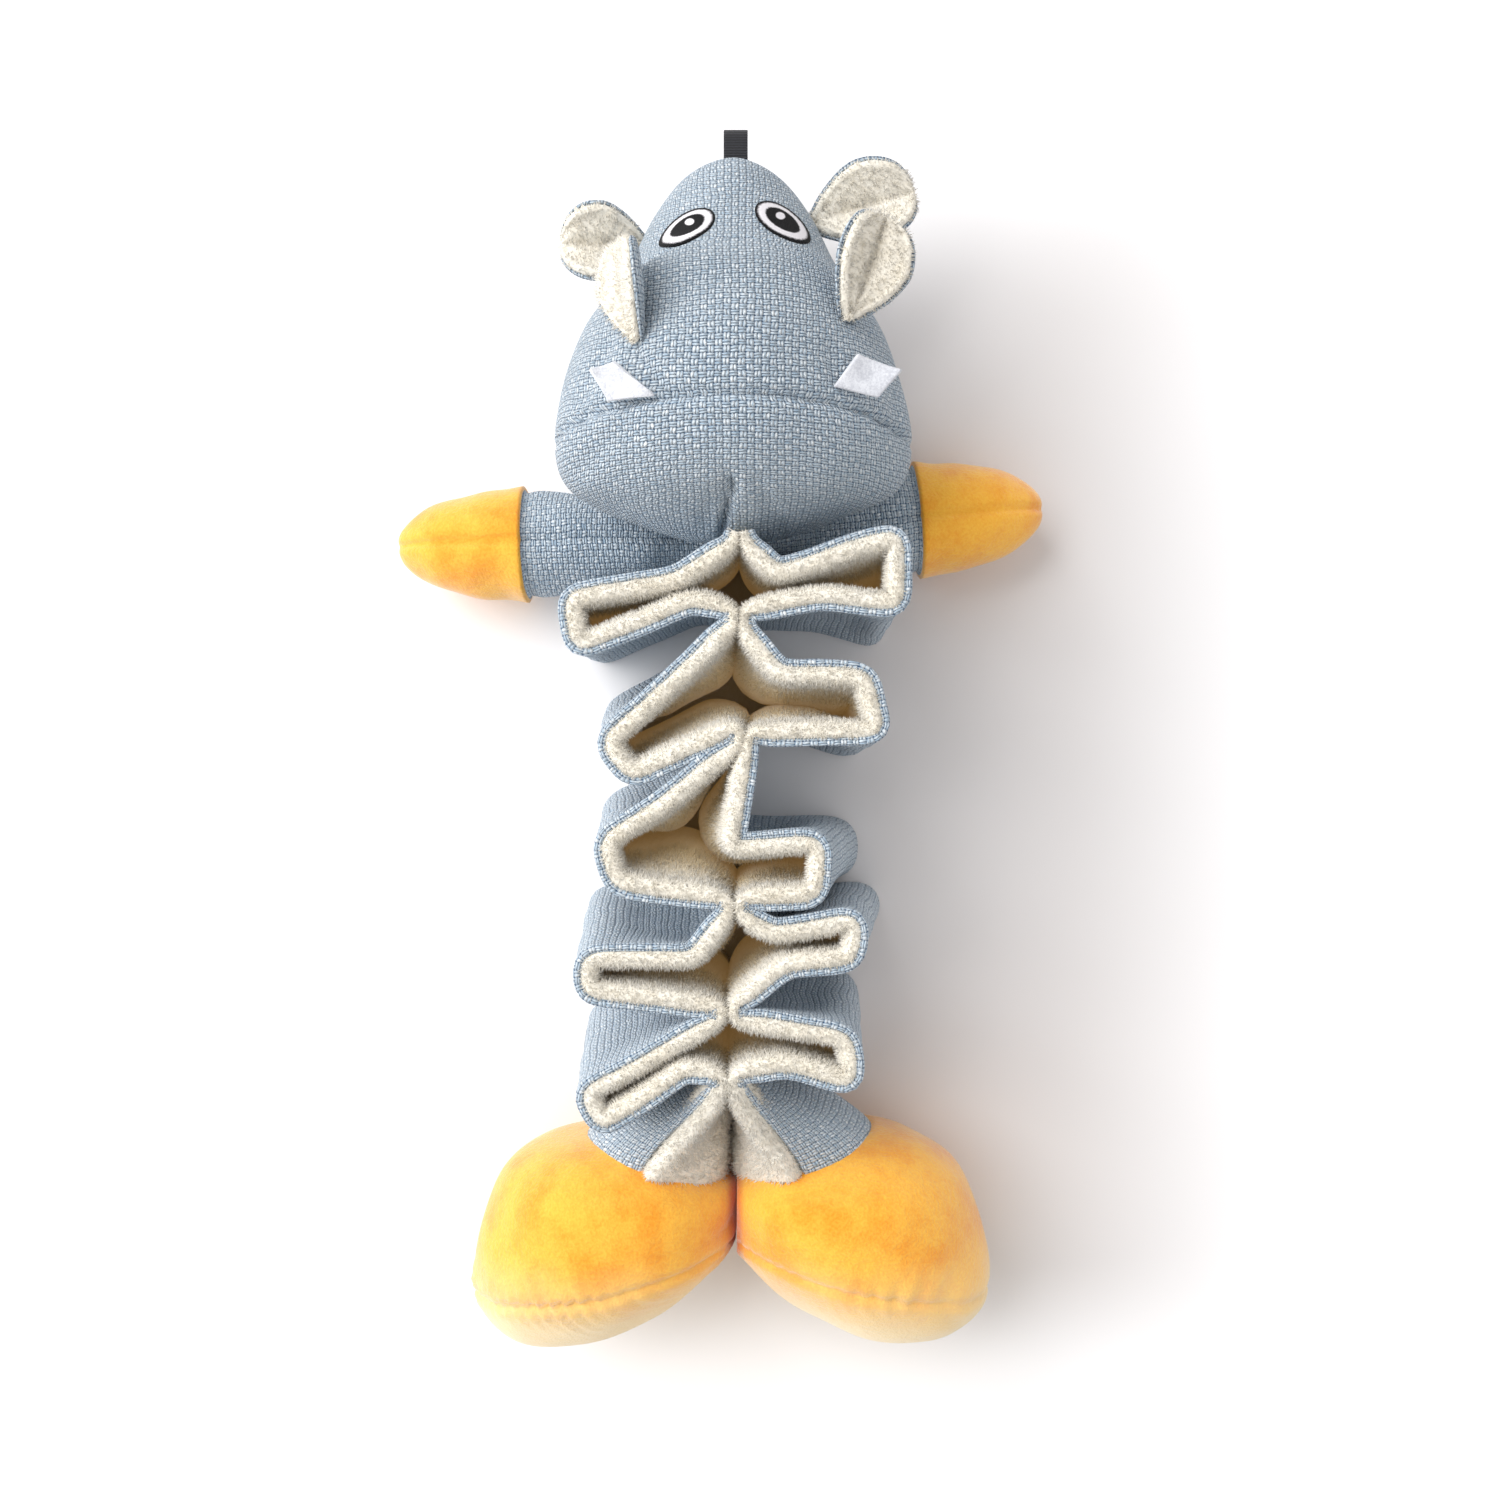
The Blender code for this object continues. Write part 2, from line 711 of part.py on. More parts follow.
def leaf_sheet(length, width, cup_degrees, depth):
    """A cupped leaf standing off its own middle line, as an open sheet along Y."""
    cup = math.radians(cup_degrees)
    rings = []
    for share, half_share in LEAF_SECTION_SHARES:
        radius = half_share * width / 2 / math.sin(min(cup, math.pi / 2))
        ring = []
        for i in range(LEAF_COLUMNS):
            angle = cup * (2 * i / (LEAF_COLUMNS - 1) - 1)
            grown = radius + depth
            ring.append(
                Vector(
                    (
                        grown * math.sin(angle),
                        share * length,
                        radius - grown * math.cos(angle),
                    )
                )
            )
        rings.append(ring)
    return loft(rings, closed_rings=False)


def make_leaf(name, length, width, cup_degrees, placing, parent, clear):
    """A sewn leaf of weave outside and plush inside, trimmed where it meets the head."""
    layers = (
        ("lining", -LEAF_LINING_THICKNESS / 2, LEAF_LINING_THICKNESS, "cream_plush"),
        (
            "outer",
            CLEARANCE + LEAF_WEAVE_THICKNESS / 2,
            LEAF_WEAVE_THICKNESS,
            "blue_weave",
        ),
    )
    for layer, depth, thickness, finish in layers:
        bm = leaf_sheet(length, width, cup_degrees, depth)
        bmesh.ops.transform(bm, matrix=placing, verts=bm.verts)
        obj = piece(f"{name}_{layer}", bm, finish, parent)
        solidify(obj, thickness, 0.0)
        cut(obj, clear)


def leaf_placing(place, heading_degrees, rise_degrees, roll_degrees):
    """Puts a leaf's root at a place: heading from +Y, raised, and rolled about its length."""
    heading = Matrix.Rotation(math.radians(heading_degrees), 4, "Z")
    rise = Matrix.Rotation(math.radians(rise_degrees), 4, "X")
    roll = Matrix.Rotation(math.radians(roll_degrees), 4, "Y")
    return Matrix.Translation(place) @ heading @ rise @ roll


def make_flap(name, side, tree, clear, parent):
    """A small folded flap whose pointed root is sewn into the snout."""
    x = HEAD_SHIFT_X + FLAP_SHIFT_X + side * FLAP_SPACING / 2
    y = head_place(FLAP_SHARE) + side * FLAP_STAGGER / 2
    seat = LEAF_WEAVE_THICKNESS + CLEARANCE * 2
    place = Vector((x, y, height_on(tree, x, y) + seat))
    placing = leaf_placing(
        place, -side * FLAP_HEADING_DEGREES, 0.0, side * FLAP_ROLL_DEGREES
    )
    make_leaf(name, FLAP_LENGTH, FLAP_WIDTH, FLAP_CUP_DEGREES, placing, parent, clear)


def make_ear(name, side, degrees, tree, clear, parent):
    """A larger cupped ear that flops on its sewn root."""
    y = head_place(EAR_SHARE) + side * EAR_STAGGER / 2
    z = HEAD_HEIGHT * EAR_HEIGHT_SHARE
    place = Vector((side_of(tree, side, y, z) - side * ROOT_SINK, y, z))
    placing = leaf_placing(place, -side * degrees, EAR_RISE_DEGREES, 0.0)
    joint = pivot(f"{name}_pivot", place, parent)
    make_leaf(name, EAR_LENGTH, EAR_WIDTH, EAR_CUP_DEGREES, placing, joint, clear)


def make_tooth(name, side, clear, parent):
    """A flat felt diamond whose root lies in the mouth seam."""
    tree = evaluated_tree(clear)
    half_length = TOOTH_LENGTH / 2
    outline = (
        (0, 0),
        (half_length * TOOTH_SHOULDER_SHARE, TOOTH_WIDTH / 2),
        (TOOTH_LENGTH, TOOTH_WIDTH * TOOTH_TIP_SHARE),
        (half_length * (2 - TOOTH_SHOULDER_SHARE), -TOOTH_WIDTH / 2),
    )
    rings = [[Vector((x * side, y, z)) for x, y in outline] for z in (0, FELT_THICKNESS)]
    bm = loft(rings)
    bm.verts.ensure_lookup_table()
    bm.faces.new([bm.verts[i] for i in range(4)])
    bm.faces.new([bm.verts[4 + i] for i in range(4)])
    x = HEAD_SHIFT_X + TOOTH_SHIFT_X + side * TOOTH_SPACING_SHARE * HEAD_WIDTH / 2
    y = MOUTH_Y - TOOTH_WIDTH * TOOTH_ROOT_SHARE + side * TOOTH_STAGGER / 2
    droop = Matrix.Rotation(math.radians(side * TOOTH_DROOP_DEGREES), 4, "Y")
    rise = Matrix.Rotation(math.radians(side * TOOTH_RISE_DEGREES), 4, "Z")
    place = Vector((x, y, height_on(tree, x, y) + CLEARANCE))
    bmesh.ops.transform(bm, matrix=Matrix.Translation(place) @ rise @ droop, verts=bm.verts)
    cut(piece(name, bm, "white_felt", parent, smooth=False), clear)


def make_ribbon(place, parent):
    """A folded loop of flat ribbon, pinched together where it is sewn in."""
    pinch = (RIBBON_THICKNESS + CLEARANCE) / 2
    side = [(0, pinch)]
    side += [(y * RIBBON_LENGTH, z * RIBBON_BULGE / 2) for y, z in RIBBON_SHARES]
    path = side + [(RIBBON_LENGTH, 0)] + [(y, -z) for y, z in side[::-1]]
    rings = [
        [place + Vector((x, y, z)) for y, z in path]
        for x in (-RIBBON_WIDTH / 2, RIBBON_WIDTH / 2)
    ]
    obj = piece("ribbon_loop", loft(rings, closed_rings=False), "black_ribbon", parent)
    solidify(obj, RIBBON_THICKNESS, 0.0)
    return obj


# Arms, legs and feet


def arm_rings(side, shoulder, degrees, length, root):
    """Round sections from the shoulder's seam to the paw's tip."""
    turn = math.radians(degrees)
    along = Vector((side * math.cos(turn), math.sin(turn), 0))
    across = Vector((-along.y, along.x, 0))
    sections = [(0.0, root)]
    for back_share, half_share in ARM_SECTION_SHARES:
        sections.append((length - back_share * STUFFED_LENGTH, half_share * ARM_DEPTH / 2))
    rings = []
    for distance, half in sections:
        centre = Vector((*shoulder, 0)) + along * distance
        rings.append(
            ring_around(
                centre, across, half, ARM_HEIGHT + half, ARM_HEIGHT - half, ARM_RING_POINTS
            )
        )
    return rings


def make_arm(name, side, shoulder, degrees, length, root, parent):
    """A blue sleeve and a yellow paw, sewn end to end round one filling."""
    rings = arm_rings(side, shoulder, degrees, length, root)
    sleeve = cover(f"{name}_sleeve", rings, "blue_weave", parent)
    paw = cover(f"{name}_paw", rings, "yellow_plush", parent)
    seam = length - PAW_LENGTH
    reach = length + OVERRUN
    place = Vector((*shoulder, 0))
    heading = degrees if side > 0 else 180.0 - degrees
    low = (seam - CLEARANCE / 2, -reach, -reach)
    cut(sleeve, turned_box(f"{name}_past_seam_cutter", low, (reach,) * 3, place, heading))
    high = (seam + CLEARANCE / 2, reach, reach)
    cut(paw, turned_box(f"{name}_before_seam_cutter", (-reach,) * 3, high, place, heading))
    filling(f"{name}_filling", rings, parent)


def outward_frame(side, degrees):
    """Directions to the toes and to the outside, turned outward about Z."""
    turn = math.radians(degrees)
    along = Vector((side * math.sin(turn), -math.cos(turn), 0))
    across = Vector((side * math.cos(turn), math.sin(turn), 0))
    return along, across


def foot_rings(side, ankle):
    """Sections that fan from the ankle's opening to the sole."""
    rings = []
    for shares, degrees in zip(FOOT_SECTION_SHARES, FOOT_TURN_DEGREES):
        share, shift, half, top, bottom = shares
        x = ankle[0] + side * shift * FOOT_WIDTH
        centre = Vector((x, ankle[1] - share * FOOT_LENGTH, -SINK))
        across = outward_frame(side, degrees)[1]
        rings.append(
            ring_around(
                centre, across, half * FOOT_WIDTH / 2, top * FOOT_HEIGHT, bottom * FOOT_HEIGHT
            )
        )
    return rings


def make_foot(name, side, ankle, parent, floor, split):
    """A bulging foot with its sole sewn in near the toes."""
    rings = foot_rings(side, ankle)
    upper = cover(f"{name}_foot_upper", rings, "yellow_plush", parent)
    sole = cover(f"{name}_foot_sole", rings, "yellow_plush", parent)
    along = outward_frame(side, SOLE_TURN_DEGREES)[0]
    heading = math.degrees(math.atan2(along.y, along.x))
    out_share, toe_share = SOLE_SHARES
    x = ankle[0] + side * out_share * FOOT_WIDTH
    seam = Vector((x, ankle[1] - toe_share * FOOT_LENGTH, 0))
    reach = FOOT_LENGTH + OVERRUN
    low = (-CLEARANCE / 2, -reach, -reach)
    cut(upper, turned_box(f"{name}_past_sole_cutter", low, (reach,) * 3, seam, heading))
    high = (CLEARANCE / 2, reach, reach)
    cut(sole, turned_box(f"{name}_before_sole_cutter", (-reach,) * 3, high, seam, heading))
    for obj in (upper, sole):
        cut(obj, floor)
        cut(obj, split)
    fill = filling(f"{name}_foot_filling", rings, parent)
    cut(fill, split)


def leg_sheet(side, ankle, top_degrees, wrap_degrees, radius, flat_shift):
    """The strip's end: upright at the last tack, curled to half a tube at the ankle."""
    along, across = outward_frame(side, ANKLE_TURN_DEGREES)
    start = strip_place(5, side)
    start += Vector((side * (LINING_THICKNESS / 2 + flat_shift), -CLEARANCE / 2))
    top = math.radians(top_degrees)
    wrap = math.radians(wrap_degrees)
    centre = Vector((*ankle, FOOT_HEIGHT / 2)) - along * (CLEARANCE * 3)
    first, last = LEG_CURL_SHARES
    rings = []
    for row in range(LEG_ROWS + 1):
        share = row / LEG_ROWS
        way = (share - first) / (last - first)
        way = min(max(way, 0.0), 1.0)
        curl = way * way * (3 - 2 * way)
        ring = []
        for i in range(LEG_COLUMNS):
            level = i / (LEG_COLUMNS - 1)
            angle = top - wrap * (1 - level)
            flat = Vector((*start, CLEARANCE / 2 + level * (STRIP_WIDTH - CLEARANCE)))
            swing = across * math.cos(angle) + Vector((0, 0, math.sin(angle)))
            curled = centre + swing * radius
            point = flat.lerp(curled, curl)
            point.y = flat.y + share * (curled.y - flat.y)
            ring.append(point)
        rings.append(ring)
    return rings


def make_leg(name, side, ankle, parent):
    """The strip's two layers, which part into a tube: weave outside, plush inside."""
    seam = LEG_SEAM_DEGREES
    layers = (
        (
            "lining", LINING_THICKNESS, -1.0, "cream_plush",
            (LEG_TOP_DEGREES + seam, -LEG_LINING_DEGREES, LEG_RADIUS - LINING_THICKNESS, 0.0),
        ),
        (
            "outer", WEAVE_THICKNESS, 1.0, "blue_weave",
            (LEG_TOP_DEGREES, LEG_WEAVE_DEGREES, LEG_RADIUS - WEAVE_THICKNESS, CLEARANCE),
        ),
    )
    for layer, thickness, way, finish, shape in layers:
        bm = loft(leg_sheet(side, ankle, *shape), closed_rings=False)
        bm.normal_update()
        bm.faces.ensure_lookup_table()
        if bm.faces[0].normal.x * side < 0:
            bmesh.ops.reverse_faces(bm, faces=bm.faces)
        obj = piece(f"{name}_leg_{layer}", bm, finish, parent, facing_known=True)
        solidify(obj, thickness, way)


def main():
    clear_scene()
    make_collection(OBJECT_NAME)
    make_collection(HIDDEN, hidden=True)
    reach = BODY_LENGTH + OVERRUN
    floor = cutter("floor_cutter", box_body((-reach, -reach, -OVERRUN), (reach, reach, 0)))

    chest = pivot("chest_pivot", (*tack_place(0), STRIP_WIDTH / 2))
    bodies = [chest]
    for index in range(1, 6):
        place = (*tack_place(index), STRIP_WIDTH / 2)
        bodies.append(pivot(f"tack_{index}_pivot", place, bodies[-1]))
    for index in range(6):
        make_tack(index, bodies[index])
    for index in range(1, 6):
        make_lobe(index, -1, "left", LEFT_LOBE_SHARES, bodies[index - 1])
        make_lobe(index, 1, "right", RIGHT_LOBE_SHARES, bodies[index - 1])

    neck = Vector((*tack_place(0), HEAD_HEIGHT / 2))
    head = pivot("neck_pivot", neck, chest)
    upper, clear = make_head(head, floor)
    tree = evaluated_tree(upper)
    for side, name in ((-1, "left"), (1, "right")):
        make_eye(f"{name}_eye", side, upper, head)
        make_tooth(f"{name}_tooth", side, clear, head)
        make_flap(f"{name}_flap", side, tree, clear, head)
    make_ear("left_ear", -1, LEFT_EAR_DEGREES, tree, clear, head)
    make_ear("right_ear", 1, RIGHT_EAR_DEGREES, tree, clear, head)

    crown = Vector((HEAD_SHIFT_X, head_place(1.0), HEAD_HEIGHT * RIBBON_HEIGHT_SHARE))
    make_ribbon(crown, pivot("ribbon_pivot", crown, head))

    hips = bodies[-1]
    arms = (
        ("left", -1, LEFT_SHOULDER, LEFT_ARM_DEGREES, LEFT_ARM_LENGTH, LEFT_ARM_ROOT),
        ("right", 1, RIGHT_SHOULDER, RIGHT_ARM_DEGREES, RIGHT_ARM_LENGTH, RIGHT_ARM_ROOT),
    )
    for name, side, offset, degrees, length, root in arms:
        shoulder = (CENTRE_X + offset[0], NECK_Y + offset[1])
        joint = pivot(f"{name}_arm_pivot", (*shoulder, ARM_HEIGHT), chest)
        make_arm(name, side, shoulder, degrees, length, root, joint)

    last = tack_place(5)
    for name, side, offset in (("left", -1, LEFT_ANKLE), ("right", 1, RIGHT_ANKLE)):
        ankle = (last.x + offset[0], last.y + offset[1])
        joint = pivot(f"{name}_ankle_pivot", (*ankle, FOOT_HEIGHT / 2), hips)
        inner = last.x + FOOT_SPLIT_X + side * FOOT_GAP / 2
        low = (min(inner, -side * reach), -reach, -OVERRUN)
        high = (max(inner, -side * reach), reach, HEAD_HEIGHT)
        split = cutter(f"{name}_foot_split_cutter", box_body(low, high))
        make_foot(name, side, ankle, joint, floor, split)
        make_leg(name, side, ankle, hips)


main()
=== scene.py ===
# %% [markdown]
# # A plush treat-hiding hippo
# The toy lies on its back and is seen from straight above. Its solids are already
# packed as a fixed frame, so this lesson only dresses them: every soft solid is replaced
# by a fuller cloth form, and every form gets a finish that is made from nodes.

# %% Load the frame
import json
import math

import bmesh
import bpy
import numpy as np
from mathutils import Matrix, Vector, noise
from mathutils.bvhtree import BVHTree


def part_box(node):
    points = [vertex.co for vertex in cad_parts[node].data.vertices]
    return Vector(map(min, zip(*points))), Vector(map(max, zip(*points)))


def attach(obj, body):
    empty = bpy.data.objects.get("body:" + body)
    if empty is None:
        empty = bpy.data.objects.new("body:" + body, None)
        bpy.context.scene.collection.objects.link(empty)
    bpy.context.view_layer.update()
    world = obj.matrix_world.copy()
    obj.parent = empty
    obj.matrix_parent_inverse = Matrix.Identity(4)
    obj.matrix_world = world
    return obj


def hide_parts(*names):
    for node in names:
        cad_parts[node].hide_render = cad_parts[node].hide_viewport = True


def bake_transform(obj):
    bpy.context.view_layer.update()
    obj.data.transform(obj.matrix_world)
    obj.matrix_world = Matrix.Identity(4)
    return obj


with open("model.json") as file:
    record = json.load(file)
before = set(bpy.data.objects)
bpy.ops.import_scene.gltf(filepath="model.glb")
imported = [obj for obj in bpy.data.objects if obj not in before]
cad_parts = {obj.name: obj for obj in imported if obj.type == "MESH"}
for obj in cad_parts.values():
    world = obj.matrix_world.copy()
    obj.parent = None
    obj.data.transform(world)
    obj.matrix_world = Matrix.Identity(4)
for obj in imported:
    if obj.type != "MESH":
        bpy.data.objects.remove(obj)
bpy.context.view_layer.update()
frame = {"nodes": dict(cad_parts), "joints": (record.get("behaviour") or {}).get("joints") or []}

# %% [markdown]
# Most places come from the frame. A tack is a vertical line of stitches, so the middle of
# its box gives its place, and the strips' width is the height of a fold.

# %% Driving places and sizes
MM = 0.001
SIDES = {"left": -1, "right": 1}


def middle(node):
    """Middle of a solid's box."""
    low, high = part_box(node)
    return (low + high) / 2


def joint_place(name):
    """A hinge's point, as the record gives it."""
    return Vector(next(j["pos_m"] for j in frame["joints"] if j["name"] == name))


TACKS = [middle(f"tack_seam_{index}") for index in range(6)]
STRIP_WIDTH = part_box("left_fold_2_lining")[1].z
NECK_Y = TACKS[0].y
BODY_LENGTH = 0.1444
CENTRE_X = TACKS[0].x + 0.010 * BODY_LENGTH
HEAD_X = joint_place("ribbon_flop").x
print("strip width:", round(STRIP_WIDTH * 1000, 1), "centre:", round(CENTRE_X * 1000, 2))

# %% [markdown]
# The photograph looks straight down from under half a metre, which is why the near edges
# of the strips look wider than the far ones. The image is shifted a little instead of the
# camera being tilted, so that upright cloth stays upright.

# %% Camera
CAMERA_HEIGHT = 0.475
CAMERA_Y = 0.0186
SENSOR_WIDTH = 36.0
PIXELS_PER_METRE_AT_ONE = 1480.0
IMAGE_SIZE = 1500.0
SHIFT_PIXELS = (5.0, -70.0)

camera_data = bpy.data.cameras.new("camera")
camera = bpy.data.objects.new("camera", camera_data)
bpy.context.scene.collection.objects.link(camera)
camera.location = (CENTRE_X, CAMERA_Y, CAMERA_HEIGHT)
camera_data.sensor_width = SENSOR_WIDTH
camera_data.lens = PIXELS_PER_METRE_AT_ONE * SENSOR_WIDTH / IMAGE_SIZE
camera_data.shift_x, camera_data.shift_y = (pixels / IMAGE_SIZE for pixels in SHIFT_PIXELS)
camera_data.clip_start = 0.01
bpy.context.scene.camera = camera
print("lens:", round(camera_data.lens, 2), "mm")

# %% [markdown]
# One large lamp stands up and to the left, as a window would. A dim one fills the right,
# and a small one grazes the left side from low down, which brings out the walls between
# the folds. The world gives the rest. Together they light a white sheet to about white.

# %% Lights
LAMPS = {
    # name: (place, size, watts)
    "window": ((-1.10, 0.88, 1.50), 1.55, 35.0),
    "fill": ((0.80, -0.25, 0.70), 0.80, 1.2),
    "side": ((-0.95, -0.05, 0.42), 0.60, 4.2),
}


def make_lamp(name, place, size, watts):
    data = bpy.data.lights.new(name, "AREA")
    data.shape = "SQUARE"
    data.size = size
    data.energy = watts
    lamp = bpy.data.objects.new(name, data)
    bpy.context.scene.collection.objects.link(lamp)
    lamp.location = place
    lamp.rotation_euler = (-Vector(place)).to_track_quat("-Z", "Y").to_euler()


for name, (place, size, watts) in LAMPS.items():
    make_lamp(name, place, size, watts)

world = bpy.data.worlds.new("studio")
bpy.context.scene.world = world
world.use_nodes = True
sky = world.node_tree.nodes["Background"]
sky.inputs["Color"].default_value = (1.0, 0.99, 0.985, 1.0)
sky.inputs["Strength"].default_value = 0.60
bpy.context.scene.view_settings.view_transform = "Standard"
print("lamps:", len(LAMPS))

# %% [markdown]
# Finishes are sums of many small nodes. The class below lets them be written as sums: a
# value knows its material, and adding or multiplying it adds a Math node.

# %% Node arithmetic


class Value:
    """An output of a node, with arithmetic."""

    def __init__(self, finish, socket):
        self.finish = finish
        self.socket = socket

    def math(self, operation, *others):
        inputs = dict(enumerate((self, *others)))
        return self.finish.add("Math", inputs, operation=operation)

    def __add__(self, other):
        return self.math("ADD", other)

    def __sub__(self, other):
        return self.math("SUBTRACT", other)

    def __mul__(self, other):
        return self.math("MULTIPLY", other)

    def __truediv__(self, other):
        return self.math("DIVIDE", other)

    def __rsub__(self, other):
        return self.finish.add("Math", {0: other, 1: self}, operation="SUBTRACT")

    def __rtruediv__(self, other):
        return self.finish.add("Math", {0: other, 1: self}, operation="DIVIDE")

    __radd__ = __add__
    __rmul__ = __mul__

    def ramp(self, low, high):
        """0 below low, 1 above high, with a smooth way between."""
        inputs = {"Value": self, "From Min": low, "From Max": high}
        return self.finish.add("MapRange", inputs, interpolation_type="SMOOTHSTEP")


print("arithmetic:", sorted(name for name in vars(Value) if name.startswith("__r")))

# %% [markdown]
# A finish is a material while it is being made. Every node comes from its one method
# add(), so a finish reads as a short list of what feeds what. Colours are written in the
# six digits that paint programs show, and turned into the linear light that nodes use.

# %% Finishes


class Finish:
    """A material that is being made: add() makes a node and returns one output."""

    def __init__(self, name, roughness=0.9, **constants):
        self.material = bpy.data.materials.new(name)
        self.material.use_nodes = True
        self.tree = self.material.node_tree
        self.shader = self.tree.nodes["Principled BSDF"]
        self.shader.inputs["Roughness"].default_value = roughness
        for key, value in constants.items():
            self.shader.inputs[key.replace("_", " ")].default_value = value

    def add(self, kind, inputs=None, output=0, **settings):
        node = self.tree.nodes.new("ShaderNode" + kind)
        for key, value in settings.items():
            setattr(node, key, value)
        for key, value in (inputs or {}).items():
            self.put(node.inputs[key], value)
        return Value(self, node.outputs[output])

    def put(self, socket, value):
        if isinstance(value, Value):
            self.tree.links.new(value.socket, socket)
        else:
            socket.default_value = value

    def cloth(self):
        """(along, across) of the cloth in metres, from its own map."""
        return self.parts(self.add("UVMap", uv_map="cloth"))[:2]

    def parts(self, vector):
        """The three numbers of a vector."""
        node = self.add("SeparateXYZ", {0: vector}).socket.node
        return [Value(self, output) for output in node.outputs]

    def place(self):
        """The point's place in the object, in metres."""
        return self.add("TexCoord", output="Object")

    def noise(self, scale, detail=2.0, roughness=0.5):
        inputs = {"Scale": scale, "Detail": detail, "Roughness": roughness}
        inputs["Vector"] = self.place()
        return self.add("TexNoise", inputs)

    def vector(self, x, y, z=0.0):
        return self.add("CombineXYZ", {0: x, 1: y, 2: z})

    def mix(self, share, low, high):
        """A colour between two others."""
        node = self.tree.nodes.new("ShaderNodeMix")
        node.data_type = "RGBA"
        self.put(node.inputs[0], share)
        self.put(node.inputs[6], low)
        self.put(node.inputs[7], high)
        return Value(self, node.outputs[2])

    def colour(self, value):
        self.put(self.shader.inputs["Base Color"], value)

    def glow(self, colour, strength):
        """A faint light of its own, for light that bounces more often than it is traced."""
        self.put(self.shader.inputs["Emission Color"], colour)
        self.shader.inputs["Emission Strength"].default_value = strength

    def bump(self, height, depth, strength=1.0):
        inputs = {"Height": height, "Distance": depth, "Strength": strength}
        self.put(self.shader.inputs["Normal"], self.add("Bump", inputs))


def srgb(text):
    """A linear colour from its usual six-digit form."""
    parts = [int(text[i : i + 2], 16) / 255 for i in (0, 2, 4)]
    linear = [p / 12.92 if p <= 0.04045 else ((p + 0.055) / 1.055) ** 2.4 for p in parts]
    return (*linear, 1.0)


print("half grey is", round(srgb("808080")[0], 3), "of white")

# %% [markdown]
# The blue cloth is a plain weave of doubled yarns. Pale pairs run along it and blue-grey pairs
# across it, each rising and diving like a wave. Whichever is higher shows. Where both dive, at the
# corners of the cells, the colour is painted a deep blue as painted shade, and each yarn is
# painted darker towards its flanks, also as painted shade. Real yarns could be modelled, but there
# are thousands, so nodes draw them from the cloth's own map. Noise bends the rows, and each stitch
# is a little paler or darker than the next. The strips are seen along their surface, where the
# same relief would look too deep, so theirs is lower.

# %% Blue weave
CELL_ACROSS = 0.0020
CELL_ALONG = 0.00155
# How far the rows wander, in cells: slowly over the cloth, and from yarn to yarn
WANDER = 0.9
JITTER = 0.50
# Half the width of one of the two yarns in a cell, and how much its roundness counts
YARN_HALF = 0.235
ROUNDNESS = 0.42


def make_weave(name, relief):
    finish = Finish(name, roughness=0.86, Sheen_Weight=0.22, Sheen_Roughness=0.5)
    right, up = finish.cloth()

    def wandering(cells, slow, quick):
        slow, quick = finish.noise(slow, 1.0), finish.noise(quick, 2.0)
        return cells + (slow - 0.5) * WANDER + (quick - 0.5) * JITTER

    u = wandering(right / CELL_ACROSS, 55.0, 330.0)
    v = wandering(up / CELL_ALONG, 47.0, 290.0)
    wave_u = (u * math.pi).math("SINE")
    wave_v = (v * math.pi).math("SINE")

    def pair(place):
        """Two rounded yarns side by side in one cell, with a shallow groove between."""
        off = ((place.math("FRACT") - 0.5).math("ABSOLUTE") - YARN_HALF) / YARN_HALF
        return (1.0 - off * off).math("MAXIMUM", -0.35)

    pair_u, pair_v = pair(u), pair(v)
    lengthwise = wave_u.math("SIGN") * wave_v * 0.58 + pair_u * ROUNDNESS
    crosswise = wave_v.math("SIGN") * wave_u * -0.56 + pair_v * ROUNDNESS
    shows = lengthwise.math("GREATER_THAN", crosswise)
    height = lengthwise.math("MAXIMUM", crosswise)
    yarn_roundness_shade = shows * (pair_u * 0.6 + 0.3 - pair_v) + pair_v
    # Painted shade: the colour darkens where both yarns dive and towards each yarn's flanks
    tone = height.ramp(0.13, 0.58) * (yarn_roundness_shade.ramp(0.0, 0.66) * 0.62 + 0.38)

    def fibres(x, y, seed):
        inputs = {"Vector": finish.vector(x, y, seed), "Scale": 1.0, "Detail": 2.0}
        return finish.add("TexNoise", inputs).ramp(0.36, 0.64)

    # The pale yarns' whiter streaks are partly fibres and partly painted highlights on the
    # filaments
    pale = finish.mix(fibres(u * 5.0, v * 0.9, 3.0), srgb("A6BACA"), srgb("EDF2F5"))
    blue = finish.mix(fibres(u * 0.9, v * 5.0, 9.0), srgb("9AB2C6"), srgb("DCE6ED"))
    yarn = finish.mix(shows, blue, pale)
    heather = finish.noise(420.0, 3.0).ramp(0.40, 0.66)
    mottled = finish.mix(heather * 0.30, yarn, srgb("BCC8D0"))
    stitch = finish.vector(u.math("FLOOR"), v.math("FLOOR"))
    uneven = finish.add("TexWhiteNoise", {"Vector": stitch}, noise_dimensions="2D")
    mottled = finish.mix(uneven * 0.20, mottled, srgb("8298AC"))
    # The deep blue is painted shade in the gaps between the yarns
    finish.colour(finish.mix(tone, srgb("285077"), mottled))
    finish.bump(height, relief, 1.0)
    return finish.material


WEAVE = make_weave("blue_weave", relief=0.0010)
STRIP_WEAVE = make_weave("blue_weave_strip", relief=0.0007)
print("weave cell:", round(CELL_ACROSS / MM, 2), "by", round(CELL_ALONG / MM, 2), "mm")

# %% [markdown]
# Plush is a short cut pile. Seen close it is a field of soft tufts whose tips catch the light, so
# noise at two scales lifts the tips and darkens the roots. A little sheen stands for light that
# the pile's edges pass on. Deep in a pocket the walls shade each other, and light bounces from
# wall to wall and turns the cream warm. A render that stops after a few bounces loses that light,
# so the cream there is painted a darker, warmer colour, as painted shade and bounced light, and
# gets a faint painted glow.

# %% Cream plush
POCKET_GLOW = 0.22
PILE_LIFT = 0.0006


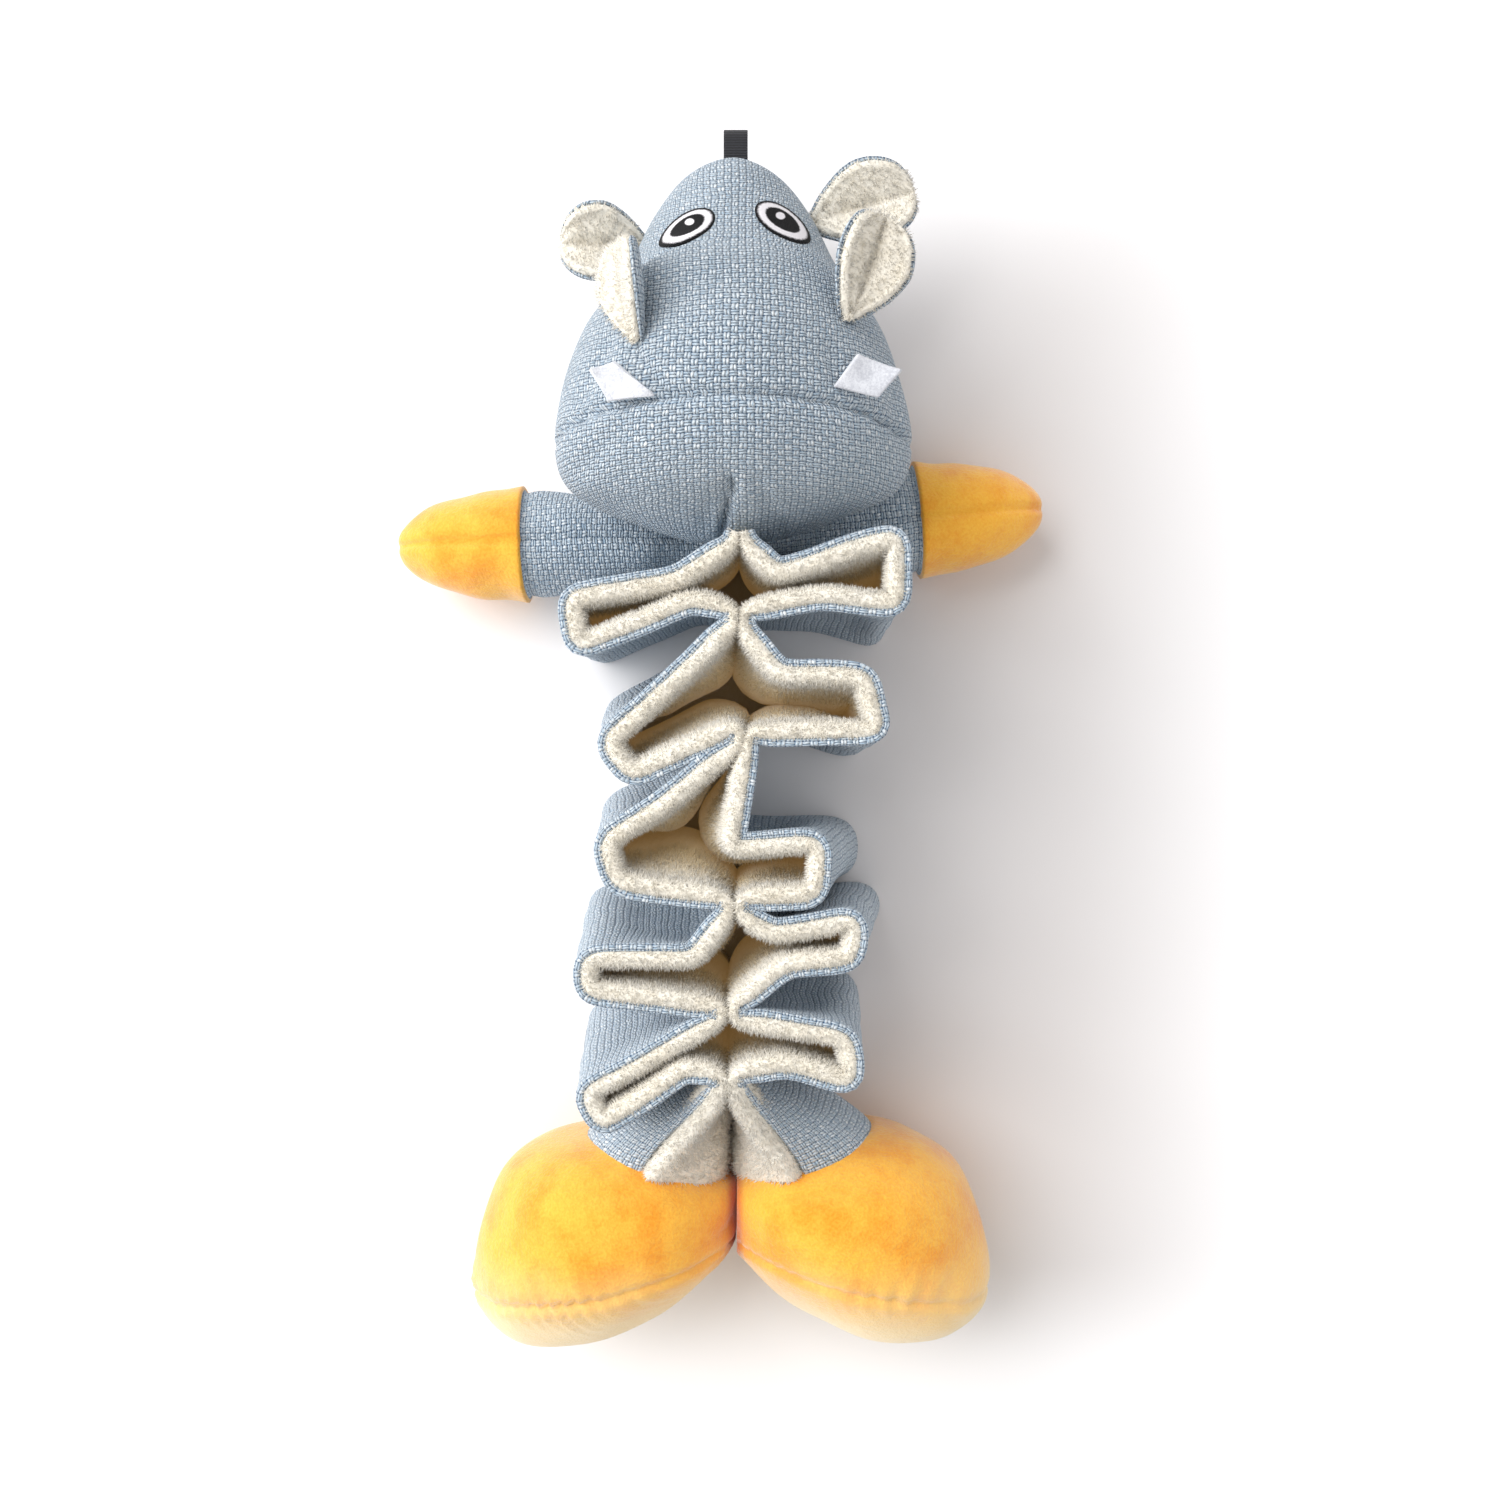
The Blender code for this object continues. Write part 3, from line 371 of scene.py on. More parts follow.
def make_plush(name, tip, root, shade=None, tuft=900.0, patch=60.0, sheen=0.45):
    """With a shade, the cloth is painted that darker, warmer colour half way between a strip's
    edges, as painted shade and bounced light, and glows faintly there.
    """
    finish = Finish(name, roughness=0.95, Sheen_Weight=sheen, Sheen_Roughness=0.55)
    fine = finish.noise(tuft, 3.0, roughness=0.6)
    coarse = finish.noise(tuft * 0.28, 2.0)
    pile = fine * 0.55 + coarse * 0.45
    wide = finish.noise(patch, 2.0)
    tone = pile.ramp(0.30, 0.66) * 0.60 + wide.ramp(0.25, 0.75) * 0.40
    colour = finish.mix(tone, srgb(root), srgb(tip))
    if shade:
        height = finish.parts(finish.place())[2]
        edge = (height - STRIP_WIDTH / 2).math("ABSOLUTE") / (STRIP_WIDTH / 2)
        # Painted shade and painted bounced light: half way down a pocket the cream turns darker
        # and warmer, and glows faintly
        colour = finish.mix(edge.ramp(0.50, 0.97), srgb(shade), colour)
        glow = finish.mix(edge.ramp(0.35, 0.85), srgb("7F6C48"), srgb("000000"))
        finish.glow(glow, POCKET_GLOW)
    finish.colour(colour)
    finish.bump(pile, PILE_LIFT, 0.9)
    return finish.material


CREAM = make_plush("cream_plush", "FAF5EA", "EFE7D6", sheen=0.5)
POCKET_CREAM = make_plush("pocket_plush", "FAF5EA", "EFE7D6", shade="DCC69A", sheen=0.5)
print("plush:", CREAM.name, POCKET_CREAM.name)

# %% [markdown]
# The feet and paws are a longer, brushed plush. Its colour changes from place to place as the pile
# leans, so a broad noise mixes orange and yellow. Light bleaches the toes, so they are painted
# paler as a painted highlight, and the crease between the feet, where each shades and colours the
# other, is painted a deep orange as painted shade and bounced light.

# %% Yellow plush
# The toes' painted highlight starts to fade at the first place and ends at the second, on the way
# to the neck
TOE_FADE = (-0.171, -0.139)
FEET_MIDDLE_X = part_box("left_foot_upper")[1][0]
CREASE_FADE = (0.0004, 0.0032)


def make_yellow():
    finish = Finish("yellow_plush", roughness=0.95, Sheen_Weight=0.60, Sheen_Roughness=0.5)
    fine = finish.noise(1300.0, 3.0, roughness=0.6)
    brushed = finish.noise(75.0, 3.0, roughness=0.6)
    tone = fine.ramp(0.30, 0.70) * 0.42 + brushed.ramp(0.30, 0.62) * 0.58
    colour = finish.mix(tone, srgb("EF940C"), srgb("FDBF3E"))
    x, y, _ = finish.parts(finish.place())
    # Painted highlight: light bleaches the toes, so they are painted paler
    toes = 1.0 - (y + (finish.noise(60.0, 2.0) - 0.5) * 0.010).ramp(*TOE_FADE)
    colour = finish.mix(toes * 0.90, colour, srgb("FBDFA0"))
    # Painted shade and painted bounced light: the crease where the feet meet is painted deep
    # orange
    crease_shade = 1.0 - (x - FEET_MIDDLE_X).math("ABSOLUTE").ramp(*CREASE_FADE)
    finish.colour(finish.mix(crease_shade * 0.80, colour, srgb("D55E08")))
    finish.bump(fine * 0.5 + finish.noise(360.0, 2.0) * 0.5, PILE_LIFT, 0.9)
    return finish.material


YELLOW = make_yellow()
print("feet meet at:", round(FEET_MIDDLE_X / MM, 2), "mm")

# %% [markdown]
# The small pieces have simple finishes. Felt is matted fibres without a direction, the
# ribbon has fine ribs across it, thread is twisted from strands, and the squeaker is a
# hazy plastic. Each is one or two noises that change both the colour and the bump.

# %% Felt, ribbon, thread and plastic
RIB_SPACING = 0.00075


def make_felt():
    finish = Finish("white_felt", roughness=0.95, Sheen_Weight=0.2)
    fibres = finish.noise(1600.0, 4.0, roughness=0.7)
    mottle = finish.noise(260.0, 2.0)
    tone = fibres * 0.6 + mottle * 0.4
    finish.colour(finish.mix(tone.ramp(0.35, 0.62), srgb("C6C8D0"), srgb("E6E8EE")))
    finish.bump(tone, 0.0004, 0.8)
    return finish.material


def make_ribbon_finish():
    """Grosgrain: fine ribs across the ribbon."""
    finish = Finish("black_ribbon", roughness=0.6)
    along = finish.cloth()[0]
    ribs = ((along / RIB_SPACING) * math.tau).math("SINE") * 0.5 + 0.5
    fibres = finish.noise(2200.0, 2.0)
    tone = ribs * 0.7 + fibres * 0.3
    finish.colour(finish.mix(tone, srgb("08080A"), srgb("34343A")))
    finish.bump(tone, 0.0003, 0.9)
    return finish.material


def make_thread():
    finish = Finish("seam_thread", roughness=0.55, Sheen_Weight=0.2)
    strands = finish.noise(3000.0, 2.0)
    finish.colour(finish.mix(strands, srgb("A79E8A"), srgb("DAD3C4")))
    finish.bump(strands, 0.0002, 0.7)
    return finish.material


def make_plastic():
    finish = Finish("squeaker_plastic", roughness=0.42)
    haze = finish.noise(300.0, 3.0)
    finish.colour(finish.mix(haze, srgb("D3DADF"), srgb("EDF1F4")))
    finish.bump(haze, 0.0001, 0.5)
    return finish.material


FIBRE = make_plush("fibre_fill", "F4F4F2", "D9D9D6", tuft=700.0, patch=90.0)
FELT = make_felt()
RIBBON = make_ribbon_finish()
SEAM_THREAD = make_thread()
PLASTIC = make_plastic()
print("finishes:", len(bpy.data.materials))

# %% [markdown]
# Cloth forms are grids of points. A grid goes into a mesh with a map of the cloth in
# metres, so that a weave keeps its true size wherever the cloth bends.

# %% Mesh helpers


def make_object(name, finish, mesh):
    obj = bpy.data.objects.new(name, mesh)
    bpy.context.scene.collection.objects.link(obj)
    mesh.materials.append(finish)
    mesh.shade_smooth()
    return obj


def mesh_from(name, points, faces, maps):
    """A mesh with one map pair for each corner of each face."""
    mesh = bpy.data.meshes.new(name)
    mesh.from_pydata([tuple(p) for p in points], [], faces)
    layer = mesh.uv_layers.new(name="cloth")
    flat = [value for face in maps for pair in face for value in pair]
    layer.data.foreach_set("uv", flat)
    mesh.update()
    return mesh


def closed_form(name, rings, finish, maps_at):
    """Rings of points, joined one after another and capped at both ends."""
    rows, count = rings.shape[:2]
    cells = [(i, k) for i in range(rows - 1) for k in range(count)]
    corners = [((i, k), (i, k + 1), (i + 1, k + 1), (i + 1, k)) for i, k in cells]
    corners.append([(0, k) for k in range(count - 1, -1, -1)])
    corners.append([(rows - 1, k) for k in range(count)])
    faces = [tuple(i * count + k % count for i, k in face) for face in corners]
    maps = [tuple(maps_at[corner] for corner in face) for face in corners]
    obj = make_object(name, finish, mesh_from(name, rings.reshape(-1, 3), faces, maps))
    bm = bmesh.new()
    bm.from_mesh(obj.data)
    bmesh.ops.recalc_face_normals(bm, faces=bm.faces)
    bm.to_mesh(obj.data)
    bm.free()
    return obj


def smooth_rows(rows, count):
    """Rows of numbers, refined by a smooth curve through them all."""
    rows = np.array(rows, float)
    wide = np.vstack([2 * rows[0] - rows[1], rows, 2 * rows[-1] - rows[-2]])
    found = []
    for t in np.linspace(0, len(rows) - 1, count):
        k = min(int(t), len(rows) - 2)
        f = t - k
        a, b, c, d = wide[k : k + 4]
        curve = 2 * b + (c - a) * f + (2 * a - 5 * b + 4 * c - d) * f**2
        found.append(0.5 * (curve + (3 * b - a - 3 * c + d) * f**3))
    return np.array(found)


def lengths(points, axis):
    """Distance run along one axis of a grid of points."""
    steps = np.linalg.norm(np.diff(points, axis=axis), axis=2)
    start = np.zeros_like(np.take(steps, [0], axis=axis))
    return np.concatenate([start, np.cumsum(steps, axis=axis)], axis=axis)


def soft_noise(point, size, seed=0.0):
    """A smooth number from about -1 to 1 that changes over the given size."""
    return noise.noise(Vector(point) / size + Vector((seed, seed * 1.7, seed * 0.3)))


print("a smooth way from 0 to 1:", smooth_rows(((0, 0), (1, 1)), 3)[:, 1].tolist())

# %% [markdown]
# A strip is folded to and fro between its tacks. Each lobe follows corners that are
# written as shares of the toy's reach and length, the same ones that its solid follows.
# The corners are softened, because thick cloth can't turn sharply.

# %% Paths of the folded strips
LOBE_REACH = 0.050
LINING_THICKNESS = 0.0044
WEAVE_THICKNESS = 0.0016
# How far neighbouring lobes run into each other at a tack
OVERLAP = 0.0009
# Half the thickness that both plush layers keep where a tack presses them together, as a
# share of a layer's own, and how far from the tack a layer is full again
PINCH = 0.00112
PINCHED_SHARE = 0.56
PINCH_REACH = 0.010
DROP_SHARE = 0.55
PATH_STEP = 0.0014
FOLD_SOFTNESS = 0.0026

# First and last drop, how far the floor edge stands out, how far that edge leans towards
# the feet on the near and the far flap, and the corners (across, along).
LOBES = {
    "left": (
        (0.036, 0.034, 0.03, (0.055, 0.01),
         ((0.36, 0.086), (0.94, 0.118), (0.90, 0.208), (0.28, 0.118))),
        (0.036, 0.063, 0.17, (-0.060, -0.060), ((0.74, 0.388), (0.61, 0.447))),
        (0.036, 0.036, 0.15, (-0.035, -0.035), ((0.75, 0.575), (0.69, 0.650))),
        (0.040, 0.036, 0.13, (-0.055, -0.055), ((0.27, 0.790), (0.84, 0.790), (0.84, 0.852))),
        (0.034, 0.034, 0.13, (-0.030, -0.030),
         ((0.32, 0.942), (0.86, 1.042), (0.77, 1.098), (0.32, 0.990))),
    ),
    "right": (
        (0.036, 0.034, 0.00, (0.135, 0.060),
         ((0.17, 0.073), (0.82, 0.000), (0.82, 0.128), (0.42, 0.112))),
        (0.055, 0.040, -0.03, (0.100, 0.085), ((0.17, 0.256), (0.64, 0.262), (0.72, 0.362))),
        (0.040, 0.036, 0.70, (0.060, 0.060), ((-0.09, 0.582), (0.39, 0.574), (0.38, 0.668))),
        (0.034, 0.036, 0.38, (0.042, 0.025),
         ((0.15, 0.746), (0.58, 0.716), (0.57, 0.788), (0.22, 0.800))),
        (0.034, 0.034, 0.17, (0.0, 0.0), ((0.55, 0.938), (0.57, 1.018), (0.24, 0.985))),
    ),
}


def lobe_corners(index, side, shares, floor_edge):
    first, last, out, leans, places = shares
    if not floor_edge:
        out, leans = 0.0, (0.0, 0.0)
    start = TACKS[index - 1].xy + Vector((side * PINCH, OVERLAP))
    end = TACKS[index].xy + Vector((side * PINCH, -OVERLAP))
    corners = [start, start - Vector((0, first * DROP_SHARE * BODY_LENGTH))]
    for i, (across, along) in enumerate(places):
        leant = along + leans[2 * i >= len(places)] * max(across, 0)
        x = CENTRE_X + side * across * (1 + out) * LOBE_REACH
        corners.append(Vector((x, NECK_Y - leant * BODY_LENGTH)))
    return corners + [end + Vector((0, last * DROP_SHARE * BODY_LENGTH)), end]


def soften(path, softness):
    """A path blurred along itself, with both its ends kept."""
    path = np.array(path)
    reach = int(3 * softness / PATH_STEP) + 1
    weights = np.exp(-0.5 * (np.arange(-reach, reach + 1) * PATH_STEP / softness) ** 2)
    weights /= weights.sum()
    before = 2 * path[0] - path[1 : reach + 1][::-1]
    after = 2 * path[-1] - path[-reach - 1 : -1][::-1]
    wide = np.vstack([before, path, after])
    columns = [np.convolve(wide[:, k], weights, "valid") for k in range(2)]
    return np.stack(columns, axis=1)


def lobe_paths(index, side, shares):
    """The near edge's path and the floor edge's, point for point."""
    near = lobe_corners(index, side, shares, False)
    floor = lobe_corners(index, side, shares, True)
    near_path, floor_path = [], []
    for i in range(len(near) - 1):
        steps = max(2, round((near[i + 1] - near[i]).length / PATH_STEP))
        last = i == len(near) - 2
        for step in range(steps + last):
            near_path.append(near[i].lerp(near[i + 1], step / steps))
            floor_path.append(floor[i].lerp(floor[i + 1], step / steps))
    return soften(near_path, FOLD_SOFTNESS), soften(floor_path, FOLD_SOFTNESS * 1.4)


PATHS = {
    (name, index): lobe_paths(index, side, shares)
    for name, side in SIDES.items()
    for index, shares in enumerate(LOBES[name], start=1)
}
print("lobes:", len(PATHS), "points:", sum(len(near) for near, _ in PATHS.values()))

# %% [markdown]
# A wall of cloth is that path swept from the floor edge to the near edge. Flat walls would
# look like card. The real cloth is slack, so some way down the walls of a pocket sink
# together until they meet, and they part again a little near the floor. Each point of
# a path therefore looks into its pocket for the wall that faces it, and moves half way.

# %% Slack walls
LEVELS = 22
# Places of the walls from the near edge down, as shares: they meet, they start to part
MEET_DEPTH = 0.42
PART_DEPTH = 0.62
PART_SHARE = 0.75
# A wall faces a point when it lies ahead, little aside, and looks the other way
FACING_AHEAD = 0.001
FACING_ASIDE = 0.006
FACING_TURN = 0.15
# Walls farther apart than the limit stay, no point moves more than the most, and the
# moves are blurred over so many points either way
CLOSING_LIMIT = 0.060
CLOSING_MOST = 0.0120
CLOSING_BLUR = 9
# The bend at a lobe's end stays open, so that its layers never cross
END_STILL = 0.003
END_EASE = 0.014
# Facing piles press into each other by twice this
PRESSED_IN = 0.0001
# Unevenness of a wall, its size, and how far from a tack it is in full
WALL_WAVE = 0.0007
WAVE_SIZE = 0.018
WAVE_HOLD = 0.008


def smoothly(share):
    share = np.clip(share, 0.0, 1.0)
    return share * share * (3 - 2 * share)


def pocket_way(path, side):
    """Unit directions from a strip's path into the pocket."""
    along = np.gradient(path, axis=0)
    along /= np.linalg.norm(along, axis=1, keepdims=True)
    return np.stack([along[:, 1], -along[:, 0]], axis=1) * side


def closing(path, way, others):
    """How far each point can move into the pocket before it meets the facing wall."""
    points = np.vstack([path for path, _ in others])
    ways = np.vstack([way for _, way in others])
    found = np.zeros(len(path))
    for i, (place, into) in enumerate(zip(path, way)):
        off = points - place
        ahead = off @ into
        aside = np.abs(off @ np.array([-into[1], into[0]]))
        facing = (ahead > FACING_AHEAD) & (aside < FACING_ASIDE) & (ways @ into < FACING_TURN)
        gap = ahead[facing].min() if facing.any() else 1.0
        if gap < CLOSING_LIMIT:
            way_in = gap / 2 - LINING_THICKNESS / 2 + PRESSED_IN
            found[i] = np.clip(way_in, 0.0, CLOSING_MOST)
    weights = np.hanning(2 * CLOSING_BLUR + 1)
    wide = np.pad(found, CLOSING_BLUR, "edge")
    close = np.convolve(wide, weights / weights.sum(), "valid")
    steps = np.linalg.norm(np.diff(path, axis=0), axis=1)
    run = np.concatenate([[0.0], np.cumsum(steps)])
    from_end = np.abs(run - run[np.abs(path[:, 0]).argmax()])
    return close * smoothly((from_end - END_STILL) / END_EASE)


def wall_grid(near_path, floor_path, seed, way, close):
    """Points of the wall's middle from the floor edge to the near edge."""
    levels = np.linspace(0.0, 1.0, LEVELS)
    depth = 1.0 - levels
    parting = smoothly((depth - PART_DEPTH) / (1 - PART_DEPTH))
    shares = smoothly(depth / MEET_DEPTH) * (1 - PART_SHARE * parting)
    rows = []
    for i, (floor, near) in enumerate(zip(floor_path, near_path)):
        ends = min(i, len(near_path) - 1 - i) * PATH_STEP
        bend = WALL_WAVE * min(ends / WAVE_HOLD, 1.0)
        row = []
        for level, share in zip(levels, shares):
            x, y = floor + (near - floor) * level
            x, y = (x, y) + way[i] * close[i] * share
            z = level * STRIP_WIDTH
            x += bend * soft_noise((x, y, z), WAVE_SIZE, seed)
            y += bend * soft_noise((y, x, z), WAVE_SIZE, seed + 5.0)
            row.append((x, y, z))
        rows.append(row)
    return np.array(rows)


WAYS = {key: pocket_way(paths[0], SIDES[key[0]]) for key, paths in PATHS.items()}


def slack_wall(name, index):
    """A lobe's wall, let down until it meets what faces it in its pocket."""
    key = name, index
    facing = [(PATHS[other, index][0], WAYS[other, index]) for other in SIDES]
    close = closing(PATHS[key][0], WAYS[key], facing)
    return wall_grid(*PATHS[key], index * 3.1 + SIDES[name], WAYS[key], close)


WALLS = {key: slack_wall(*key) for key in PATHS}
print("wall points:", sum(wall.shape[0] * wall.shape[1] for wall in WALLS.values()))

# %% [markdown]
# A wall is only a surface, and cloth is thick. Each layer becomes a closed skin round the
# wall: one face, a rounded rim, the other face and the rim on the floor. Its pile makes
# the near rim of a lining fatter than the wall. A solidify modifier would be shorter, but
# it gives square rims and no say in how thick each place is.

# %% Skins of cloth
RIM_STEPS = 8
RIM_SPREAD = 0.0055
RIM_RISE = 0.4
# Sizes of the lumps that uneven pile has, broad and fine
LUMPS = (0.0042, 0.0016)
# Faces round one section of a skin, counted from the side that the weave covers
SKIN_COLUMNS = 2 * LEVELS + 2 * (RIM_STEPS - 1)


def grid_normals(grid, side):
    """Unit directions to the outer face of a wall, and up to its near edge."""
    across = np.gradient(grid, axis=1)
    along = np.gradient(grid, axis=0)
    normals = np.cross(along, across) * -side
    normals /= np.linalg.norm(normals, axis=2, keepdims=True)
    up = across / np.linalg.norm(across, axis=2, keepdims=True)
    return normals, up


def rounded_ends(grid, radius):
    """Shares of the full thickness that round a wall off at both its ends."""
    run = lengths(grid, 0).mean(axis=1)
    near_end = np.minimum(run, run[-1] - run) / radius
    return np.sqrt(np.clip(1 - np.clip(1 - near_end, 0, 1) ** 2, 0.02, 1))


def cloth_skin(
    name, grid, side, inner, outer, finish, bulge=0.0, fuzz=0.0, ends=None, plump=None, out=None
):
    """One layer of cloth as a closed skin between two offsets from the grid.

    bulge swells the near rim, fuzz makes the surface uneven, ends are shares of the
    thickness row by row, plump adds to the inner face, and out replaces the normals.
    """
    normals, up = grid_normals(grid, side)
    normals = normals if out is None else out
    shares = np.ones(len(grid)) if ends is None else ends
    centre = np.broadcast_to((outer + inner) / 2, len(grid))
    radius = np.broadcast_to((outer - inner) / 2, len(grid))[:, None] * shares[:, None]
    heights = lengths(grid, 1)
    total = heights[:, -1:]
    swell = bulge * np.exp(-(((total - heights) / RIM_SPREAD) ** 2)) * shares[:, None]
    # The faces stop short of the edges by the rim's radius
    inset = radius + heights * (1 - 2 * radius / total) - heights
    base = grid + up * inset[..., None]
    full = np.zeros(heights.shape) if plump is None else plump
    front = base + normals * (centre[:, None] + radius + swell)[..., None]
    back = base + normals * (centre[:, None] - radius - swell - full)[..., None]
    sections = [front]
    # Round the near rim to the other face, and round the floor's rim back again
    for edge, way in ((-1, 1), (0, -1)):
        if edge == 0:
            sections.append(back[:, ::-1])
        size = radius[:, 0] + swell[:, edge]
        height = radius[:, 0] + swell[:, edge] * RIM_RISE
        arc = []
        for step in range(1, RIM_STEPS):
            angle = math.pi * step / RIM_STEPS
            turn = (centre + math.cos(angle) * way * size)[:, None]
            rise = (math.sin(angle) * way * height)[:, None]
            arc.append(base[:, edge] + normals[:, edge] * turn + up[:, edge] * rise)
        sections.append(np.stack(arc, axis=1))
    loop = np.concatenate(sections, axis=1)
    if fuzz:
        away = loop - loop.mean(axis=1, keepdims=True)
        away /= np.linalg.norm(away, axis=2, keepdims=True) + 1e-9
        for i, k in np.ndindex(loop.shape[:2]):
            lump = soft_noise(loop[i, k], LUMPS[0]) + soft_noise(loop[i, k], LUMPS[1], 3.0) * 0.5
            loop[i, k] += away[i, k] * lump * fuzz
    return closed_form(name, loop, finish, skin_maps(loop))


def skin_maps(loop):
    """The cloth's map of a skin: distance along it and round it, the same in each row."""
    wrapped = np.concatenate([loop, loop[:, :1]], axis=1)
    along = lengths(loop, 0).mean(axis=1)
    around = lengths(wrapped, 1).mean(axis=0)
    return np.stack(np.meshgrid(along, around, indexing="ij"), axis=2)


print("points round a skin:", SKIN_COLUMNS)

# %% [markdown]
# Bump alone leaves a hard outline, so the cream plush also carries real tufts where it
# is seen close: thousands of three-sided points, scattered by area and leaning every way.
# A hair system would need baking, and these are one plain mesh for each piece.

# %% Tufts of pile
TUFT_WIDTH = 0.00048
TUFT_LENGTH = 0.00150
TUFT_SINK = 0.0005
TUFT_LEAN = 0.42
PILE_DENSITY = 4.5e6


def pile_on(obj, density, keep, seed):
    """Tufts on a skin's faces; keep(centres, columns) gives each face its share."""
    mesh = obj.data
    mesh.calc_loop_triangles()
    count = len(mesh.loop_triangles)
    corners = np.empty(count * 3, int)
    mesh.loop_triangles.foreach_get("vertices", corners)
    places = np.empty(len(mesh.vertices) * 3)
    mesh.vertices.foreach_get("co", places)
    corners = places.reshape(-1, 3)[corners.reshape(-1, 3)]
    normals = np.cross(corners[:, 1] - corners[:, 0], corners[:, 2] - corners[:, 0])
    areas = np.linalg.norm(normals, axis=1) / 2
    normals /= 2 * areas[:, None] + 1e-12
    wanted = areas * density
    owners = np.empty(count, int)
    mesh.loop_triangles.foreach_get("polygon_index", owners)
    wanted *= keep(corners.mean(axis=1), owners % SKIN_COLUMNS)
    rng = np.random.default_rng(seed)
    chosen = np.repeat(np.arange(count), rng.poisson(wanted))
    a, b = rng.random((2, len(chosen), 1))
    a, b = np.where(a + b > 1, 1 - a, a), np.where(a + b > 1, 1 - b, b)
    first, second, third = (corners[chosen, k] for k in range(3))
    roots = first + (second - first) * a + (third - first) * b
    ways = normals[chosen] + rng.normal(0, TUFT_LEAN, (len(chosen), 3))
    ways /= np.linalg.norm(ways, axis=1, keepdims=True)
    aside = np.cross(ways, rng.normal(0, 1, (len(chosen), 3)))
    aside /= np.linalg.norm(aside, axis=1, keepdims=True)
    other = np.cross(ways, aside)
    tall = TUFT_LENGTH * rng.uniform(0.6, 1.3, (len(chosen), 1))
    feet = roots - normals[chosen] * TUFT_SINK
    points = []
    for k in range(3):
        angle = math.tau * k / 3
        out = aside * math.cos(angle) + other * math.sin(angle)
        points.append(feet + out * TUFT_WIDTH / 2)
    points.append(roots + ways * tall)
    points = np.stack(points, axis=1).reshape(-1, 3)
    start = np.arange(len(chosen))[:, None] * 4
    faces = np.concatenate([start + [0, 1, 3], start + [1, 2, 3], start + [2, 0, 3]])
    tufts = bpy.data.meshes.new(f"{obj.name}_pile")
    tufts.from_pydata(points.tolist(), [], faces.tolist())
    piece = make_object(f"{obj.name}_pile", mesh.materials[0], tufts)
    return piece


def open_side(centres, columns):
    """Keeps tufts off the side that the weave covers."""
    return (columns >= LEVELS - 1) * 1.0


def near_rim(depth):
    """Keeps tufts near the strips' upper edges, fading with depth."""

    def keep(centres, columns):
        fade = np.clip(1 - (STRIP_WIDTH - centres[:, 2]) / depth, 0, 1) ** 0.5
        return fade * (columns >= LEVELS - 2)

    return keep


print("tufts on a square centimetre:", round(PILE_DENSITY * 1e-4))

# %% [markdown]
# Each lobe gets a plush skin and a weave skin round its wall, and tufts on the plush, in place of
# the lobe's two solids.

# %% Folded lobes
folds = []


def join_ends(grid):
    """Slightly thinner ends, so that a wall slips into the next one at a tack."""
    shares = np.ones(len(grid))
    shares[:2] = shares[-2:] = 0.90
    shares[0] = shares[-1] = 0.80
    return shares


def pressed(from_tack):
    """Shares of the lining's thickness, which a tack presses flat."""
    return PINCHED_SHARE + (1 - PINCHED_SHARE) * smoothly(from_tack / PINCH_REACH)


for (name, index), grid in WALLS.items():
    side = SIDES[name]
    run = lengths(grid, 0)[:, -1]
    face = LINING_THICKNESS / 2 * pressed(np.minimum(run, run[-1] - run))
    lining = cloth_skin(
        f"{name}_fold_{index}_plush", grid, side, -face, face, POCKET_CREAM,
        bulge=0.0003, fuzz=0.00030, ends=join_ends(grid),
    )
    weave = cloth_skin(
        f"{name}_fold_{index}_weave", grid, side, face, face + WEAVE_THICKNESS, STRIP_WEAVE,
        bulge=0.00030, fuzz=0.00030, ends=join_ends(grid),
    )
    pile = pile_on(lining, PILE_DENSITY, near_rim(0.022), seed=index * 2 + side)
    for obj, node, slot in (
        (lining, f"{name}_fold_{index}_lining", "cream_plush"),
        (weave, f"{name}_fold_{index}_outer", "blue_weave"),
    ):
        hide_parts(node)
    for obj in (lining, weave, pile):
        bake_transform(obj)
        folds.append(obj)
print("lobe skins:", len(folds), "points:", sum(len(o.data.vertices) for o in folds))

# %% [markdown]
# Below the last tack the layers of each strip part into a tube that is sewn into a foot:
# the weave goes round its outer half and the plush round its inner half. Each layer
# starts as an upright sheet and rolls round the ankle.

# %% Legs
ANKLES = {name: joint_place(f"{name}_ankle_swing") for name in SIDES}
LEG_RADIUS = 0.0219
LEG_WEAVE_DEGREES = 205.0
LEG_LINING_DEGREES = -152.0
LEG_TOP_DEGREES = {"left": 80.0, "right": 93.0}
LINING_AHEAD_DEGREES = 3.0
ANKLE_TURN_DEGREES = 17.0
LEG_ROWS = 40
# How late the sheet rolls up, how many slack folds it has, and how deep they are
LEG_EASE = 0.35
LEG_FOLDS = 5.0
LEG_SLACK = 0.0013


def outward_frame(side, degrees):
    """Directions to the toes and to the outside, turned outward about Z."""
    turn = math.radians(degrees)
    along = Vector((side * math.sin(turn), -math.cos(turn), 0))
    return along, Vector((side * math.cos(turn), math.sin(turn), 0))


